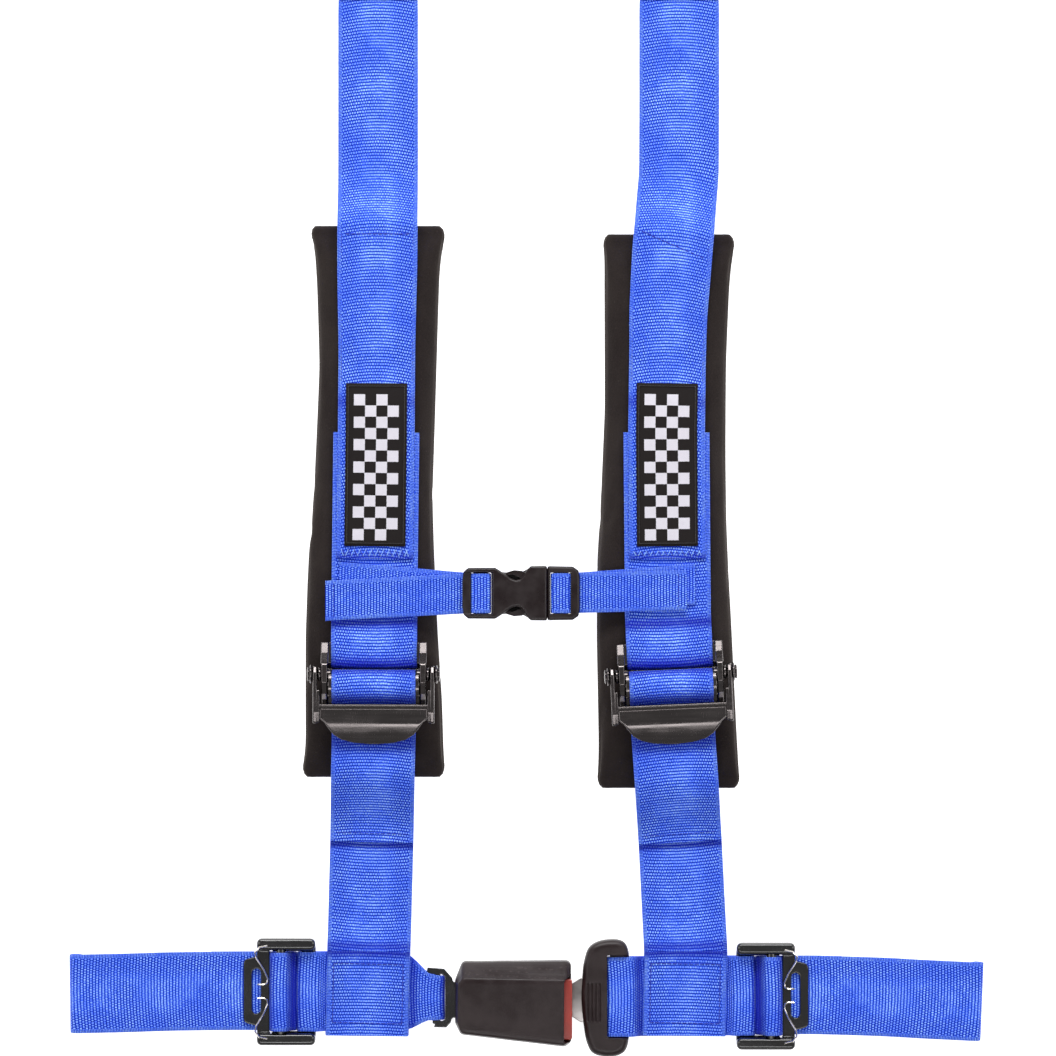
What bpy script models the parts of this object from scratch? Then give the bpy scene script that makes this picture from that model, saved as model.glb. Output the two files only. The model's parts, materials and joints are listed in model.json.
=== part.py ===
"""Four-point racing harness, laid flat: shoulder straps on pads, chest strap and lap straps.

Every length is in millimetres and is scaled by MM where a mesh is made, so the model is in metres.
+X runs across the wearer's chest, +Y towards the shoulders and +Z up from the table it lies on.
Rows of points are measured from the middle of the lap strap, where the HARNESS empty sits.
"""

import math

import bmesh
import bpy
from mathutils import Vector

MM = 0.001

# Driving dimensions
WEBBING_WIDTH = 50.8
CHEST_WIDTH = 25.4
WEBBING = 1.6
GAP = 0.3
LAYER = WEBBING + GAP
HALF_SPAN = 289.6
TOP_REACH = 735.0
BOTTOM_REACH = 40.6
PAD_THICKNESS = 17.5
PLATE = 2.0
HOUSING_HEIGHT = 24.0
LABEL_WIDTH = 38.5
LABEL_THICKNESS = 0.8
LEVER_PIN_RADIUS = 3.0
LAP_BAR_RADIUS = 3.0
LAP_BAR_TRAVEL = 2.0
BUCKLE_Y = -5.0
CHEST_BUCKLE_Y = 253.4
LAP_LINE_Y = -(TOP_REACH - BOTTOM_REACH) / 2
SLOPE_STEP = 4.0

# Heights of the middle of each layer of webbing, on the table and on the pad
TABLE_LAYERS = [WEBBING / 2 + LAYER * k for k in range(5)]
PAD_LAYERS = [PAD_THICKNESS + GAP + WEBBING / 2 + LAYER * k for k in range(5)]

MATERIALS = {
    "webbing": ((0.042, 0.107, 0.87), 0.62, 0.0),
    "pad_fabric": ((0.018, 0.015, 0.014), 0.9, 0.0),
    "label_fabric": ((0.012, 0.012, 0.013), 0.8, 0.0),
    "gunmetal": ((0.05, 0.045, 0.045), 0.25, 1.0),
    "black_steel": ((0.012, 0.012, 0.012), 0.35, 0.6),
    "bare_steel": ((0.42, 0.4, 0.4), 0.35, 1.0),
    "black_plastic": ((0.03, 0.026, 0.026), 0.5, 0.0),
    "red_plastic": ((0.5, 0.045, 0.03), 0.45, 0.0),
}


class Side:
    """One half of the harness: where its straps, pad and hardware lie."""

    def __init__(self, name, sign, column, pad, adjuster, lap):
        self.name = name
        self.sign = sign
        self.column = column
        self.pad = pad
        self.adjuster = adjuster
        self.lap = lap
        self.turn = math.atan2(*self.across(adjuster[1])[1::-1])

    def x(self, y):
        """The strap's middle at height y, on straight lines between the column's points."""
        for (y0, x0), (y1, x1) in zip(self.column, self.column[1:]):
            if y1 <= y <= y0:
                return x0 + (x1 - x0) * (y0 - y) / (y0 - y1)
        return self.column[0][1] if y > self.column[0][0] else self.column[-1][1]

    def across(self, y):
        """The level direction square to the strap at height y."""
        slope = (self.x(y + SLOPE_STEP) - self.x(y - SLOPE_STEP)) / (2 * SLOPE_STEP)
        return (1, -slope, 0)

    def lap_y(self, x):
        """The lap strap's middle at x."""
        for (x0, y0), (x1, y1) in zip(self.lap, self.lap[1:]):
            if x0 <= x <= x1:
                return y0 + (y1 - y0) * (x - x0) / (x1 - x0)
        return self.lap[0][1] if x < self.lap[0][0] else self.lap[-1][1]

    def lap_across(self, x):
        slope = (self.lap_y(x + SLOPE_STEP) - self.lap_y(x - SLOPE_STEP)) / (2 * SLOPE_STEP)
        return (-slope, 1, 0)


LEFT = Side(
    "left",
    -1,
    [
        *[(560, -94.0), (480, -94.0), (356, -94.6), (240, -96.0)],
        *[(165, -96.2), (95, -98.0), (26, -99.8), (-28, -101.0)],
    ],
    {"x": -96.5, "width": 81.0, "low": 137.0, "high": 486.0},
    (-96.1, 202.3),
    [(-289.6, -1.0), (-231.0, 0.3), (-182.0, 0.6), (-60.0, 0.3)],
)
RIGHT = Side(
    "right",
    1,
    [
        *[(560, 97.4), (520, 97.2), (470, 92.6), (430, 90.0), (356, 88.8)],
        *[(240, 89.7), (165, 93.0), (95, 98.0), (26, 101.5), (-28, 100.4)],
    ],
    {"x": 89.6, "width": 82.0, "low": 130.0, "high": 481.0},
    (91.36, 202.3),
    [(50.0, -3.0), (130.0, -2.4), (182.0, -2.0), (231.0, -3.2), (289.6, -6.0)],
)


def clear_scene():
    for obj in list(bpy.data.objects):
        bpy.data.objects.remove(obj)


def material(name):
    found = bpy.data.materials.get(name)
    if found:
        return found
    colour, roughness, metallic = MATERIALS[name]
    made = bpy.data.materials.new(name)
    made.use_nodes = True
    shader = made.node_tree.nodes["Principled BSDF"]
    shader.inputs["Base Color"].default_value = (*colour, 1.0)
    shader.inputs["Roughness"].default_value = roughness
    shader.inputs["Metallic"].default_value = metallic
    return made


def add_object(name, mesh, slot=None, parent=None, place=(0, 0, 0), turn=0.0):
    """Links a mesh as an object whose origin is at place, in millimetres, under its parent."""
    obj = bpy.data.objects.new(name, mesh)
    bpy.context.scene.collection.objects.link(obj)
    obj.location = Vector(place) * MM
    obj.rotation_euler = (0, 0, turn)
    obj.parent = parent
    if slot:
        mesh.materials.append(material(slot))
    return obj


def loft(rings, closed=False):
    """A mesh through rings of equally many points: capped at both ends, or joined end to end."""
    body = bmesh.new()
    loops = [[body.verts.new(Vector(p) * MM) for p in ring] for ring in rings]
    pairs = list(zip(loops, loops[1:]))
    if closed:
        pairs.append((loops[-1], loops[0]))
    for a, b in pairs:
        for i in range(len(a)):
            j = (i + 1) % len(a)
            body.faces.new((a[i], a[j], b[j], b[i]))
    if not closed:
        body.faces.new(loops[0])
        body.faces.new(list(reversed(loops[-1])))
    bmesh.ops.recalc_face_normals(body, faces=body.faces)
    mesh = bpy.data.meshes.new("loft")
    body.to_mesh(mesh)
    body.free()
    return mesh


def prism(outline, low, high, axis="z"):
    """An outline pulled straight along an axis. The outline's own axes are the other two, in order."""
    spots = {
        "z": lambda u, v, w: (u, v, w),
        "x": lambda u, v, w: (w, u, v),
        "y": lambda u, v, w: (u, w, v),
    }
    spot = spots[axis]
    return loft([[spot(u, v, w) for u, v in outline] for w in (low, high)])


def rectangle(u0, u1, v0, v1):
    return [(u0, v0), (u1, v0), (u1, v1), (u0, v1)]


def circle(u, v, radius, count=16):
    return ellipse(u, v, radius, radius, count)


def ellipse(u, v, a, b, count=16):
    steps = [2 * math.pi * i / count for i in range(count)]
    return [(u + a * math.cos(t), v + b * math.sin(t)) for t in steps]


def rounded(points, radius, steps=3):
    """The outline with an arc at each corner."""
    made = []
    for i, here in enumerate(points):
        here = Vector(here)
        back = (Vector(points[i - 1]) - here).normalized()
        ahead = (Vector(points[(i + 1) % len(points)]) - here).normalized()
        half = back.angle(ahead) / 2
        reach = radius / math.tan(half)
        middle = here + (back + ahead).normalized() * radius / math.sin(half)
        first = here + back * reach - middle
        last = here + ahead * reach - middle
        for k in range(steps + 1):
            spot = middle + first.lerp(last, k / steps).normalized() * radius
            made.append((spot.x, spot.y))
    return made


def mirror_u(points, sign):
    return [(sign * p[0], *p[1:]) for p in points]


def combine(obj, meshes, operation):
    """Adds meshes to an object, or cuts them from it, with one Boolean for each."""
    for number, mesh in enumerate(meshes):
        tool = bpy.data.objects.new(f"{obj.name}_tool_{operation.lower()}_{number}", mesh)
        bpy.context.scene.collection.objects.link(tool)
        tool.parent = obj
        tool.hide_render = True
        tool.display_type = "WIRE"
        step = obj.modifiers.new(operation.title(), "BOOLEAN")
        step.operation = operation
        step.object = tool
        step.solver = "EXACT"
    return obj


def soften(obj, width, segments=1):
    step = obj.modifiers.new("Bevel", "BEVEL")
    step.width = width * MM
    step.segments = segments
    step.limit_method = "ANGLE"
    step.angle_limit = math.radians(40)
    return obj


def ribbon(name, points, across, widths, thickness=WEBBING, closed=False, slot="webbing"):
    """Webbing along a line of points: a flat section whose width lies along across at each point."""
    rings = []
    count = len(points)
    for i, point in enumerate(points):
        before = points[i - 1] if closed or i else points[0]
        after = points[(i + 1) % count] if closed or i < count - 1 else points[-1]
        along = (Vector(after) - Vector(before)).normalized()
        side = Vector(across[i]).normalized()
        up = side.cross(along).normalized()
        half = side * widths[i] / 2
        rise = up * thickness / 2
        upper = Vector(point) + rise
        lower = Vector(point) - rise
        rings.append([upper + half, upper - half, lower - half, lower + half])
    return add_object(name, loft(rings, closed), slot, HARNESS)


def arc(centre, radius, start_deg, end_deg, steps=6):
    """Points of an arc in the plane of the run and the height."""
    made = []
    for k in range(steps + 1):
        angle = math.radians(start_deg + (end_deg - start_deg) * k / steps)
        made.append((centre[0] + radius * math.cos(angle), centre[1] + radius * math.sin(angle)))
    return made


def offset(profile, distance):
    """The profile moved sideways by distance, to the left of its own direction."""
    moved = []
    for i, point in enumerate(profile):
        before = Vector(profile[max(i - 1, 0)])
        after = Vector(profile[min(i + 1, len(profile) - 1)])
        along = (after - before).normalized()
        moved.append((point[0] - along.y * distance, point[1] + along.x * distance))
    return moved


def height_at(profile, y):
    for (y0, z0), (y1, z1) in zip(profile, profile[1:]):
        if y0 <= y <= y1:
            return z0 + (z1 - z0) * (y - y0) / (y1 - y0)
    return profile[0][1]


def column_strap(side, name, profile, width, thickness=WEBBING, slot="webbing"):
    """A strap along a shoulder column, through (y, z) points. Its width is a number or a rule of y."""
    points = [(side.x(y), y, z) for y, z in profile]
    across = [side.across(y) for y, _ in profile]
    widths = [width(y) if callable(width) else width for y, _ in profile]
    return ribbon(f"{side.name}_{name}", points, across, widths, thickness, slot=slot)


def smooth_step(a, b, x):
    t = min(max((x - a) / (b - a), 0.0), 1.0)
    return t * t * (3 - 2 * t)


# Shoulder strap and its bolt-in bracket

BRACKET_LIFT = 4.3
BRACKET_LOOP = 3.5
BRACKET_Y = TOP_REACH - 54.0
BOLT_EYE_Y = 38.0
BOLT_EYE_RADIUS = 5.75
LOOP_WIDTH = 38.0


def gathered(y):
    """The strap's width: full along its run, gathered into the bracket's slot at its end."""
    return WEBBING_WIDTH - (WEBBING_WIDTH - LOOP_WIDTH) * smooth_step(BRACKET_Y - 55, BRACKET_Y - 12, y)


def shoulder_strap(side):
    top = side.pad["high"]
    on_pad = PAD_LAYERS[0]
    on_webbing = PAD_LAYERS[2]
    loop = arc((BRACKET_Y, BRACKET_LIFT), BRACKET_LOOP, 90, -90, 8)
    profile = [(BRACKET_Y - 58, TABLE_LAYERS[1]), (BRACKET_Y - 22, TABLE_LAYERS[1]), (BRACKET_Y - 12, 5.0)]
    profile += [(BRACKET_Y - 5, BRACKET_LIFT + BRACKET_LOOP)] + loop
    profile += [(BRACKET_Y - 8, TABLE_LAYERS[0]), (560, TABLE_LAYERS[0]), (top + 46, TABLE_LAYERS[0] + 0.2)]
    profile += [(top + 34, 2.0), (top + 24, 5.4), (top + 15, 10.4), (top + 8, 15.4), (top + 1, 18.9)]
    profile += [(top - 9, on_pad + 0.3), (top - 20, on_pad), (398, on_pad), (388, on_pad + 0.8)]
    profile += [(378, on_pad + 2.6), (368, on_webbing), (320, on_webbing), (275.2, on_webbing)]
    column_strap(side, "shoulder_strap", profile, gathered)


def bracket(name, parent, place, turn):
    """A stamped bolt-in bracket: slot bar on its own axis, a joggle, and a bolt eye flat on the table."""
    half = PLATE / 2 + 0.25
    lift = BRACKET_LIFT
    side_view = [(-2, -half), (11, -half), (19, -lift), (54, -lift)]
    side_view += [(54, -lift + 2 * half), (20, -lift + 2 * half), (12, half), (-2, half)]
    plate = prism([(u, v) for u, v in side_view], -24.0, 24.0, "x")
    obj = add_object(name, plate, "bare_steel", parent, place, turn)
    plan = rounded([(-24, -2.6), (24, -2.6), (24, 14), (15, 54.0), (-15, 54.0), (-24, 14)], 2.4, 2)
    combine(obj, [prism(plan, -12, 12)], "INTERSECT")
    slot = prism(rectangle(-20, 20, 2.0, 5.6), -12, 12)
    eye = prism(circle(0, BOLT_EYE_Y, BOLT_EYE_RADIUS, 20), -12, 12)
    combine(obj, [slot, eye], "DIFFERENCE")
    return obj


# Pad, label and the webbing that holds the shoulder adjuster


def pad(side):
    facts = side.pad
    middle = (facts["low"] + facts["high"]) / 2
    half = facts["width"] / 2
    length = (facts["high"] - facts["low"]) / 2
    mesh = prism(rectangle(-half, half, -length, length), 0, PAD_THICKNESS)
    obj = add_object(f"{side.name}_shoulder_pad", mesh, "pad_fabric", HARNESS, (facts["x"], middle, 0))
    soften(obj, 6.0, 2)


def label(side):
    """A woven label sewn over the strap."""
    lift = (WEBBING + LABEL_THICKNESS) / 2 + GAP
    on_pad = PAD_LAYERS[0] + lift + 0.5
    on_webbing = PAD_LAYERS[2] + lift
    profile = [(386, on_pad + 1.0), (378, on_pad + 2.6), (368, on_webbing + 0.1)]
    profile += [(350, on_webbing), (283, on_webbing)]
    column_strap(side, "pad_label", profile, LABEL_WIDTH, LABEL_THICKNESS, "label_fabric")


ADJUSTER_BASE = PAD_LAYERS[0] + WEBBING / 2 + GAP
ADJUSTER_TOP_LAYER = ADJUSTER_BASE + PLATE + GAP + WEBBING / 2
CROSSBAR_EDGE = 6.6
CAM_A = 7.7
CAM_B = 5.0
CAM_BACK = 6.6
CAM_LIFT = ADJUSTER_TOP_LAYER + CAM_B + GAP + WEBBING / 2


def adjuster_webbing(side):
    """Sewn under the shoulder strap, round the adjuster's crossbar and back."""
    axle = side.adjuster[1]
    low = PAD_LAYERS[0]
    high = PAD_LAYERS[1]
    middle = (low + ADJUSTER_TOP_LAYER) / 2
    radius = (ADJUSTER_TOP_LAYER - low) / 2
    profile = [(355, low), (300, low), (axle + 30, low)]
    profile += arc((axle + CROSSBAR_EDGE, middle), radius, -90, -270, 8)
    profile += [(axle + 21, ADJUSTER_TOP_LAYER), (axle + 30, high + 0.6), (axle + 38, high)]
    profile += [(300, high), (355, high)]
    column_strap(side, "adjuster_webbing", profile, 54.0)


# Shoulder adjuster: frame, cam axle and lever

FLANGE_IN = 29.3
FLANGE_OUT = 32.8
WING_IN = 35.6
WING_OUT = 38.4
LIP_HALF = [(34.2, -28.0), (31.0, -30.6), (28.6, -34.2), (25.4, -38.2), (20.4, -41.4), (12.4, -43.5)]


def adjuster_frame(side):
    base = ADJUSTER_BASE - CAM_LIFT
    mesh = prism(rectangle(-FLANGE_OUT, FLANGE_OUT, -20, 20), base, base + PLATE)
    place = (*side.adjuster, CAM_LIFT)
    obj = add_object(f"{side.name}_adjuster_frame", mesh, "gunmetal", HARNESS, place, side.turn)
    ear = [(20, base), (20, base + 4), (13, -1.0), (6, 5.5), (-5, 5.5), (-12, 2.0), (-16, -3)]
    ear += [(-20, base + 4), (-20, base)]
    ears = [prism(ear, s * FLANGE_IN, s * FLANGE_OUT, "x") for s in (-1, 1)]
    combine(obj, ears, "UNION")
    slot = prism(rectangle(-28.6, 28.6, 3.4, CROSSBAR_EDGE), base - 1, base + PLATE + 1)
    bore = prism(circle(0, 0, LEVER_PIN_RADIUS + GAP, 16), -50, 50, "x")
    combine(obj, [slot, bore], "DIFFERENCE")


def adjuster_axle(side):
    """An oval cam bar under the webbing, with journals off its centre and a riveted head at each end."""
    bar = prism(ellipse(-CAM_BACK, 0, CAM_A, CAM_B, 20), -28.9, 28.9, "x")
    place = (*side.adjuster, CAM_LIFT)
    obj = add_object(f"{side.name}_adjuster_axle", bar, "gunmetal", HARNESS, place, side.turn)
    journals = [prism(circle(0, 0, LEVER_PIN_RADIUS), s * 27.9, s * 41.0, "x") for s in (-1, 1)]
    collars = [prism(circle(0, 0, 4.6, 12), s * 33.1, s * 35.2, "x") for s in (-1, 1)]
    heads = [prism(circle(0, 0, 6.0, 16), s * 38.8, s * 42.0, "x") for s in (-1, 1)]
    combine(obj, [*journals, *collars, *heads], "UNION")


def adjuster_lever(side):
    """A plate with a thumb lip between two wings that turn on the cam axle."""
    section = [(-18.8, 1.6), (-18.8, 3.6), (-24, 3.4), (-30, 1.8), (-33, 2.2), (-37, 1.9), (-42, 0.2)]
    section += [(-46.2, -2.8), (-45.4, -4.6), (-41, -1.9), (-36.5, -0.2), (-31, -0.3), (-25, 1.3)]
    plate = prism(section, -WING_OUT, WING_OUT, "x")
    place = (*side.adjuster, CAM_LIFT)
    obj = add_object(f"{side.name}_adjuster_lever", plate, "gunmetal", HARNESS, place, side.turn)
    wing = [(3, -5.4), (5.6, -1), (5.2, 3.0), (1.0, 5.4), (-10, 5.0)]
    wing += [(-24, 3.8), (-31.0, 1.8), (-31.0, -1.5), (-20, -3.6), (-4, -5.6)]
    combine(obj, [prism(wing, s * WING_IN, s * WING_OUT, "x") for s in (-1, 1)], "UNION")
    lip = [(WING_OUT, 10), (WING_OUT, -27.6), *LIP_HALF, (0, -44.4)]
    lip += [(-u, v) for u, v in reversed(LIP_HALF)]
    lip += [(-WING_OUT, -27.6), (-WING_OUT, 10)]
    combine(obj, [prism(lip, -20, 20)], "INTERSECT")
    bore = prism(circle(0, 0, LEVER_PIN_RADIUS + GAP, 16), -50, 50, "x")
    combine(obj, [bore], "DIFFERENCE")


# Lower strap: sewn into the lap junction, up round the cam bar and back down as the pull tail

HEM_Y = 95.0


def lower_strap(side):
    axle = side.adjuster[1]
    low = side.pad["low"]
    top = ADJUSTER_TOP_LAYER
    cam_y = axle - CAM_BACK
    lift = CAM_LIFT
    a = CAM_A + GAP + WEBBING / 2
    b = CAM_B + GAP + WEBBING / 2
    run = [(-27.5, TABLE_LAYERS[2]), (27, TABLE_LAYERS[2]), (36, 2.6), (46, TABLE_LAYERS[0])]
    run += [(low - 43, TABLE_LAYERS[0]), (low - 36, 1.2), (low - 28, 3.0), (low - 20, 6.6)]
    run += [(low - 12, 11.4), (low - 4, 16.0), (low + 4, 18.8)]
    run += [(low + 12, 19.4), (axle - 34, 20.2), (axle - 27, 21.6), (axle - 21, top), (cam_y, top)]
    turns = [math.radians(20 * k) for k in range(1, 15)]
    wrap = [(cam_y + a * math.sin(t), lift - b * math.cos(t)) for t in turns]
    back = offset(run[4:-2], LAYER)
    tail = [(axle - 18.6, lift - 3.0), (axle - 20.8, top + 2.3)]
    tail += [spot for spot in reversed(back) if spot[0] > HEM_Y + 3]
    tail += [(HEM_Y, height_at(back, HEM_Y))]
    column_strap(side, "lower_strap", run + wrap + tail, 53.4)


def junction_patch(side):
    """The square of webbing sewn over the crossing of the lower strap and the lap loop."""
    height = TABLE_LAYERS[3]
    profile = [(25.8, height - 0.1), (20, height), (0, height), (-20, height), (-27.8, height)]
    column_strap(side, "junction_patch", profile, 52.1)


# Lap strap, its spring adjuster and its bolt-in bracket

INNER_EDGE = 133.4
INNER_BAR = 142.5
BAR_U = 155.6
OPENING_END = 162.8
FRAME_END = 170.8
TAB_END = 179.3
LAP_BASE = 3.8
LAP_BAR_LIFT = 9.9
BRACKET_U = 262.0


def lap_ribbon(side, name, profile, width, closed=False, y_of=None):
    points = []
    for u, z in profile:
        x = side.sign * u
        points.append((x, y_of(x) if y_of else side.lap_y(x), z))
    across = [side.lap_across(x) for x, _, _ in points]
    widths = [width(u) if callable(width) else width for u, _ in profile]
    return ribbon(f"{side.name}_{name}", points, across, widths, closed=closed)


def lap_strap(side):
    """Folded in its bracket, along to the adjuster, over the sliding bar and back as the tail."""
    fold = (9.7 - TABLE_LAYERS[0]) / 2
    fold_u = HALF_SPAN - fold - WEBBING / 2
    lift = BRACKET_LIFT
    profile = [(fold_u - 2, TABLE_LAYERS[1]), (BRACKET_U + 12, TABLE_LAYERS[1]), (BRACKET_U + 8, 4.6)]
    profile += [(BRACKET_U + 3.5, lift + BRACKET_LOOP)]
    profile += arc((BRACKET_U, lift), BRACKET_LOOP, 90, 270, 8)
    profile += [(BRACKET_U + 8, TABLE_LAYERS[0]), (fold_u - 4, TABLE_LAYERS[0])]
    profile += arc((fold_u, TABLE_LAYERS[0] + fold), fold, -90, 90, 8)
    profile += [(BRACKET_U - 4, 9.8), (BRACKET_U - 12, 9.3), (BRACKET_U - 26, 7.2), (BRACKET_U - 44, 4.4)]
    profile += [(BRACKET_U - 60, TABLE_LAYERS[1] + 0.2), (188, TABLE_LAYERS[1]), (163.3, TABLE_LAYERS[1])]
    profile += [(161.95, 2.95), (161.7, 4.3)]
    profile += [(161.7, 10.5), (160.9, 12.6), (158.6, 14.0), (154.8, 14.0), (152.4, 12.8)]
    profile += [(151.3, 10.6), (149.2, 6.4), (146.9, 4.2), (146.8, 2.2), (148.4, TABLE_LAYERS[0])]
    profile += [(157.4, TABLE_LAYERS[0]), (163, TABLE_LAYERS[0]), (200, TABLE_LAYERS[0])]

    def width(u):
        return LOOP_WIDTH + (50.0 - LOOP_WIDTH) * smooth_step(268, 284, u)

    widths = [width(u) if i < 16 else 50.0 for i, (u, _) in enumerate(profile)]
    points = [(side.sign * u, side.lap_y(side.sign * u), z) for u, z in profile]
    ribbon(f"{side.name}_lap_strap", points, [side.lap_across(x) for x, _, _ in points], widths)


def lap_adjuster(side):
    """A stamped frame with a raised flange on each side, a sliding bar, and two wire springs."""
    y = side.lap_y(side.sign * 150)
    s = side.sign
    base = LAP_BASE
    name = side.name
    plan = rounded([(INNER_EDGE, -34), (FRAME_END, -34), (FRAME_END, 34), (INNER_EDGE, 34)], 3.0, 2)
    plate = prism(mirror_u(plan, s), base, base + PLATE)
    frame = add_object(f"{name}_lap_adjuster_frame", plate, "black_steel", HARNESS, (0, y, 0))
    flange = rounded(rectangle(INNER_EDGE, FRAME_END, 26.2, 33.9), 3.0, 2)
    flanges = [prism([(s * u, k * v) for u, v in flange], base, 14.0) for k in (-1, 1)]
    tab = rounded([(FRAME_END - 4, -23), (TAB_END, -20), (TAB_END, 20), (FRAME_END - 4, 23)], 3.0, 2)
    combine(frame, [*flanges, prism(mirror_u(tab, s), base, base + PLATE)], "UNION")
    opening = prism(mirror_u(rectangle(INNER_BAR, OPENING_END, -26.6, 26.6), s), 0, 14)
    finger = prism(mirror_u(rounded(rectangle(168.3, 174.0, -14.3, 14.3), 2.5, 2), s), 0, 14)
    reach = LAP_BAR_RADIUS + GAP
    far = BAR_U + LAP_BAR_TRAVEL + reach
    track = rectangle(BAR_U - reach, far, LAP_BAR_LIFT - reach, LAP_BAR_LIFT + reach)
    combine(frame, [opening, finger, prism(mirror_u(track, s), -29.6, 29.6, "y")], "DIFFERENCE")
    bar = prism(circle(0, 0, LAP_BAR_RADIUS, 12), -29.2, 29.2, "y")
    add_object(f"{name}_lap_adjuster_bar", bar, "black_steel", HARNESS, (s * BAR_U, y, LAP_BAR_LIFT))
    for word, k in (("upper", 1), ("lower", -1)):
        route = [(163.8, 29.5, 14.9), (168.8, 28.4, 14.9), (171.6, 25.2, 14.7), (171.0, 21.6, 10.6)]
        route += [(166.5, 14.0, 7.4), (163.9, 8.2, 7.0)]
        route += [(164.2, 5.4, 7.0), (166.6, 4.2, 7.0), (170.4, 4.4, 7.0)]
        points = [(s * u, k * v + y, z) for u, v, z in route]
        tube(f"{name}_lap_spring_{word}", points, 0.6, "bare_steel")
    turn = s * math.pi / 2 - side.lap_across(s * BRACKET_U)[0]
    place = (s * BRACKET_U, side.lap_y(s * BRACKET_U), BRACKET_LIFT)
    bracket(f"{name}_lap_bracket", HARNESS, place, turn)


def tube(name, points, radius, slot, place=(0, 0, 0)):
    """A round wire through points, as a bevelled curve with filled ends."""
    curve = bpy.data.curves.new(name, "CURVE")
    curve.dimensions = "3D"
    curve.bevel_depth = radius * MM
    curve.bevel_resolution = 1
    curve.use_fill_caps = True
    spline = curve.splines.new("POLY")
    spline.points.add(len(points) - 1)
    for spot, point in zip(spline.points, points):
        spot.co = (*(Vector(point) * MM), 1)
    return add_object(name, curve, slot, HARNESS, place)


def coil(name, start, length, radius, wire, turns, slot):
    """A compression spring along +X from start."""
    steps = 10
    points = []
    for i in range(turns * steps + 1):
        t = i / steps
        angle = 2 * math.pi * t
        points.append((length * t / turns, radius * math.cos(angle), radius * math.sin(angle)))
    tube(name, points, wire, slot, start)


def left_buckle_webbing():
    """A closed loop through the lap adjuster and the junction, gathered into the buckle's frame."""
    low = TABLE_LAYERS[0]
    high = TABLE_LAYERS[1]
    inner = LAP_BASE + PLATE / 2
    reach = PLATE / 2 + GAP + WEBBING / 2
    profile = [(124, low), (132, low + 0.4), (138, inner - reach)]
    profile += arc((INNER_BAR, inner), reach, -90, 90, 6)
    profile += [(133.0, inner + reach), (128.3, high + 0.05), (124, high), (100, high), (72.4, high)]
    profile += [(66, 4.8), (62, 6.3)]
    profile += arc((BUCKLE_BAR, BUCKLE_PLATE_LIFT), BUCKLE_LOOP, 90, 270, 8)
    profile += [(64, 1.6), (70, low + 0.2), (78, low), (100, low)]

    def width(u):
        return 28.0 + (WEBBING_WIDTH - 28.0) * smooth_step(58, 79, u)

    def y_of(x):
        return BUCKLE_Y + 1.4 + (0.3 - BUCKLE_Y - 1.4) * smooth_step(55, 80, -x)

    lap_ribbon(LEFT, "buckle_webbing", profile, width, True, y_of)


def right_buckle_webbing():
    """A closed loop through the lap adjuster and the junction, round the bar of the tongue's grip."""
    low = TABLE_LAYERS[0]
    high = TABLE_LAYERS[1]
    inner = LAP_BASE + PLATE / 2
    reach = PLATE / 2 + GAP + WEBBING / 2
    top = GRIP_BAR_TOP + GAP + WEBBING / 2
    left = GRIP_BAR_LEFT - GAP - WEBBING / 2
    profile = [(124, low), (132, low + 0.4), (138, inner - reach)]
    profile += arc((INNER_BAR, inner), reach, -90, 90, 6)
    profile += [(133.0, inner + reach), (128.6, high + 0.05), (124, high), (100, high), (72.6, high)]
    profile += [(67.4, top - 0.8), (65.0, top), (59, top), (left + 1.4, top), (left + 0.35, top - 0.35)]
    profile += [(left, top - 1.4), (left, low + 1.4), (left + 0.35, low + 0.35), (left + 1.4, low)]
    profile += [(66, low), (78, low), (100, low)]
    lap_ribbon(RIGHT, "buckle_webbing", profile, WEBBING_WIDTH, True)


# Lap buckle: two covers, the pressed frame, the release mechanism and the tongue

BUCKLE_PLATE_LIFT = 4.3
BUCKLE_LOOP = 2.35
BUCKLE_BAR = 54.5
GRIP_BAR_TOP = 7.4
GRIP_BAR_LEFT = 53.3
MOUTH_X = 24.0
COVER_SPLIT = 9.0
WALL = 2.2
PAWL_X = -18.0
PAWL_Z = 13.6

HOUSING_PLAN = [(-45.0, 8.0), (-40.5, 19.6), (25.5, 20.2)]
HOUSING_PLAN += [(MOUTH_X, -34.2), (-41.5, -26.5), (-45.0, -19.0)]
RIDGE_PLAN = [(-43.0, 6.0), (-39.5, 11.0), (24.5, 9.5)]
RIDGE_PLAN += [(MOUTH_X - 0.6, -32.8), (-41.0, -25.2), (-43.4, -18.0)]


def inset(plan, amount):
    middle = Vector((-8.0, -6.0))
    made = []
    for point in plan:
        arm = Vector(point) - middle
        shrink = Vector((1 - amount / 37.0, 1 - amount / 26.0))
        made.append((middle.x + arm.x * shrink.x, middle.y + arm.y * shrink.y))
    return made


def at_height(plan, z):
    return [(x, y, z) for x, y in plan]


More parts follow.
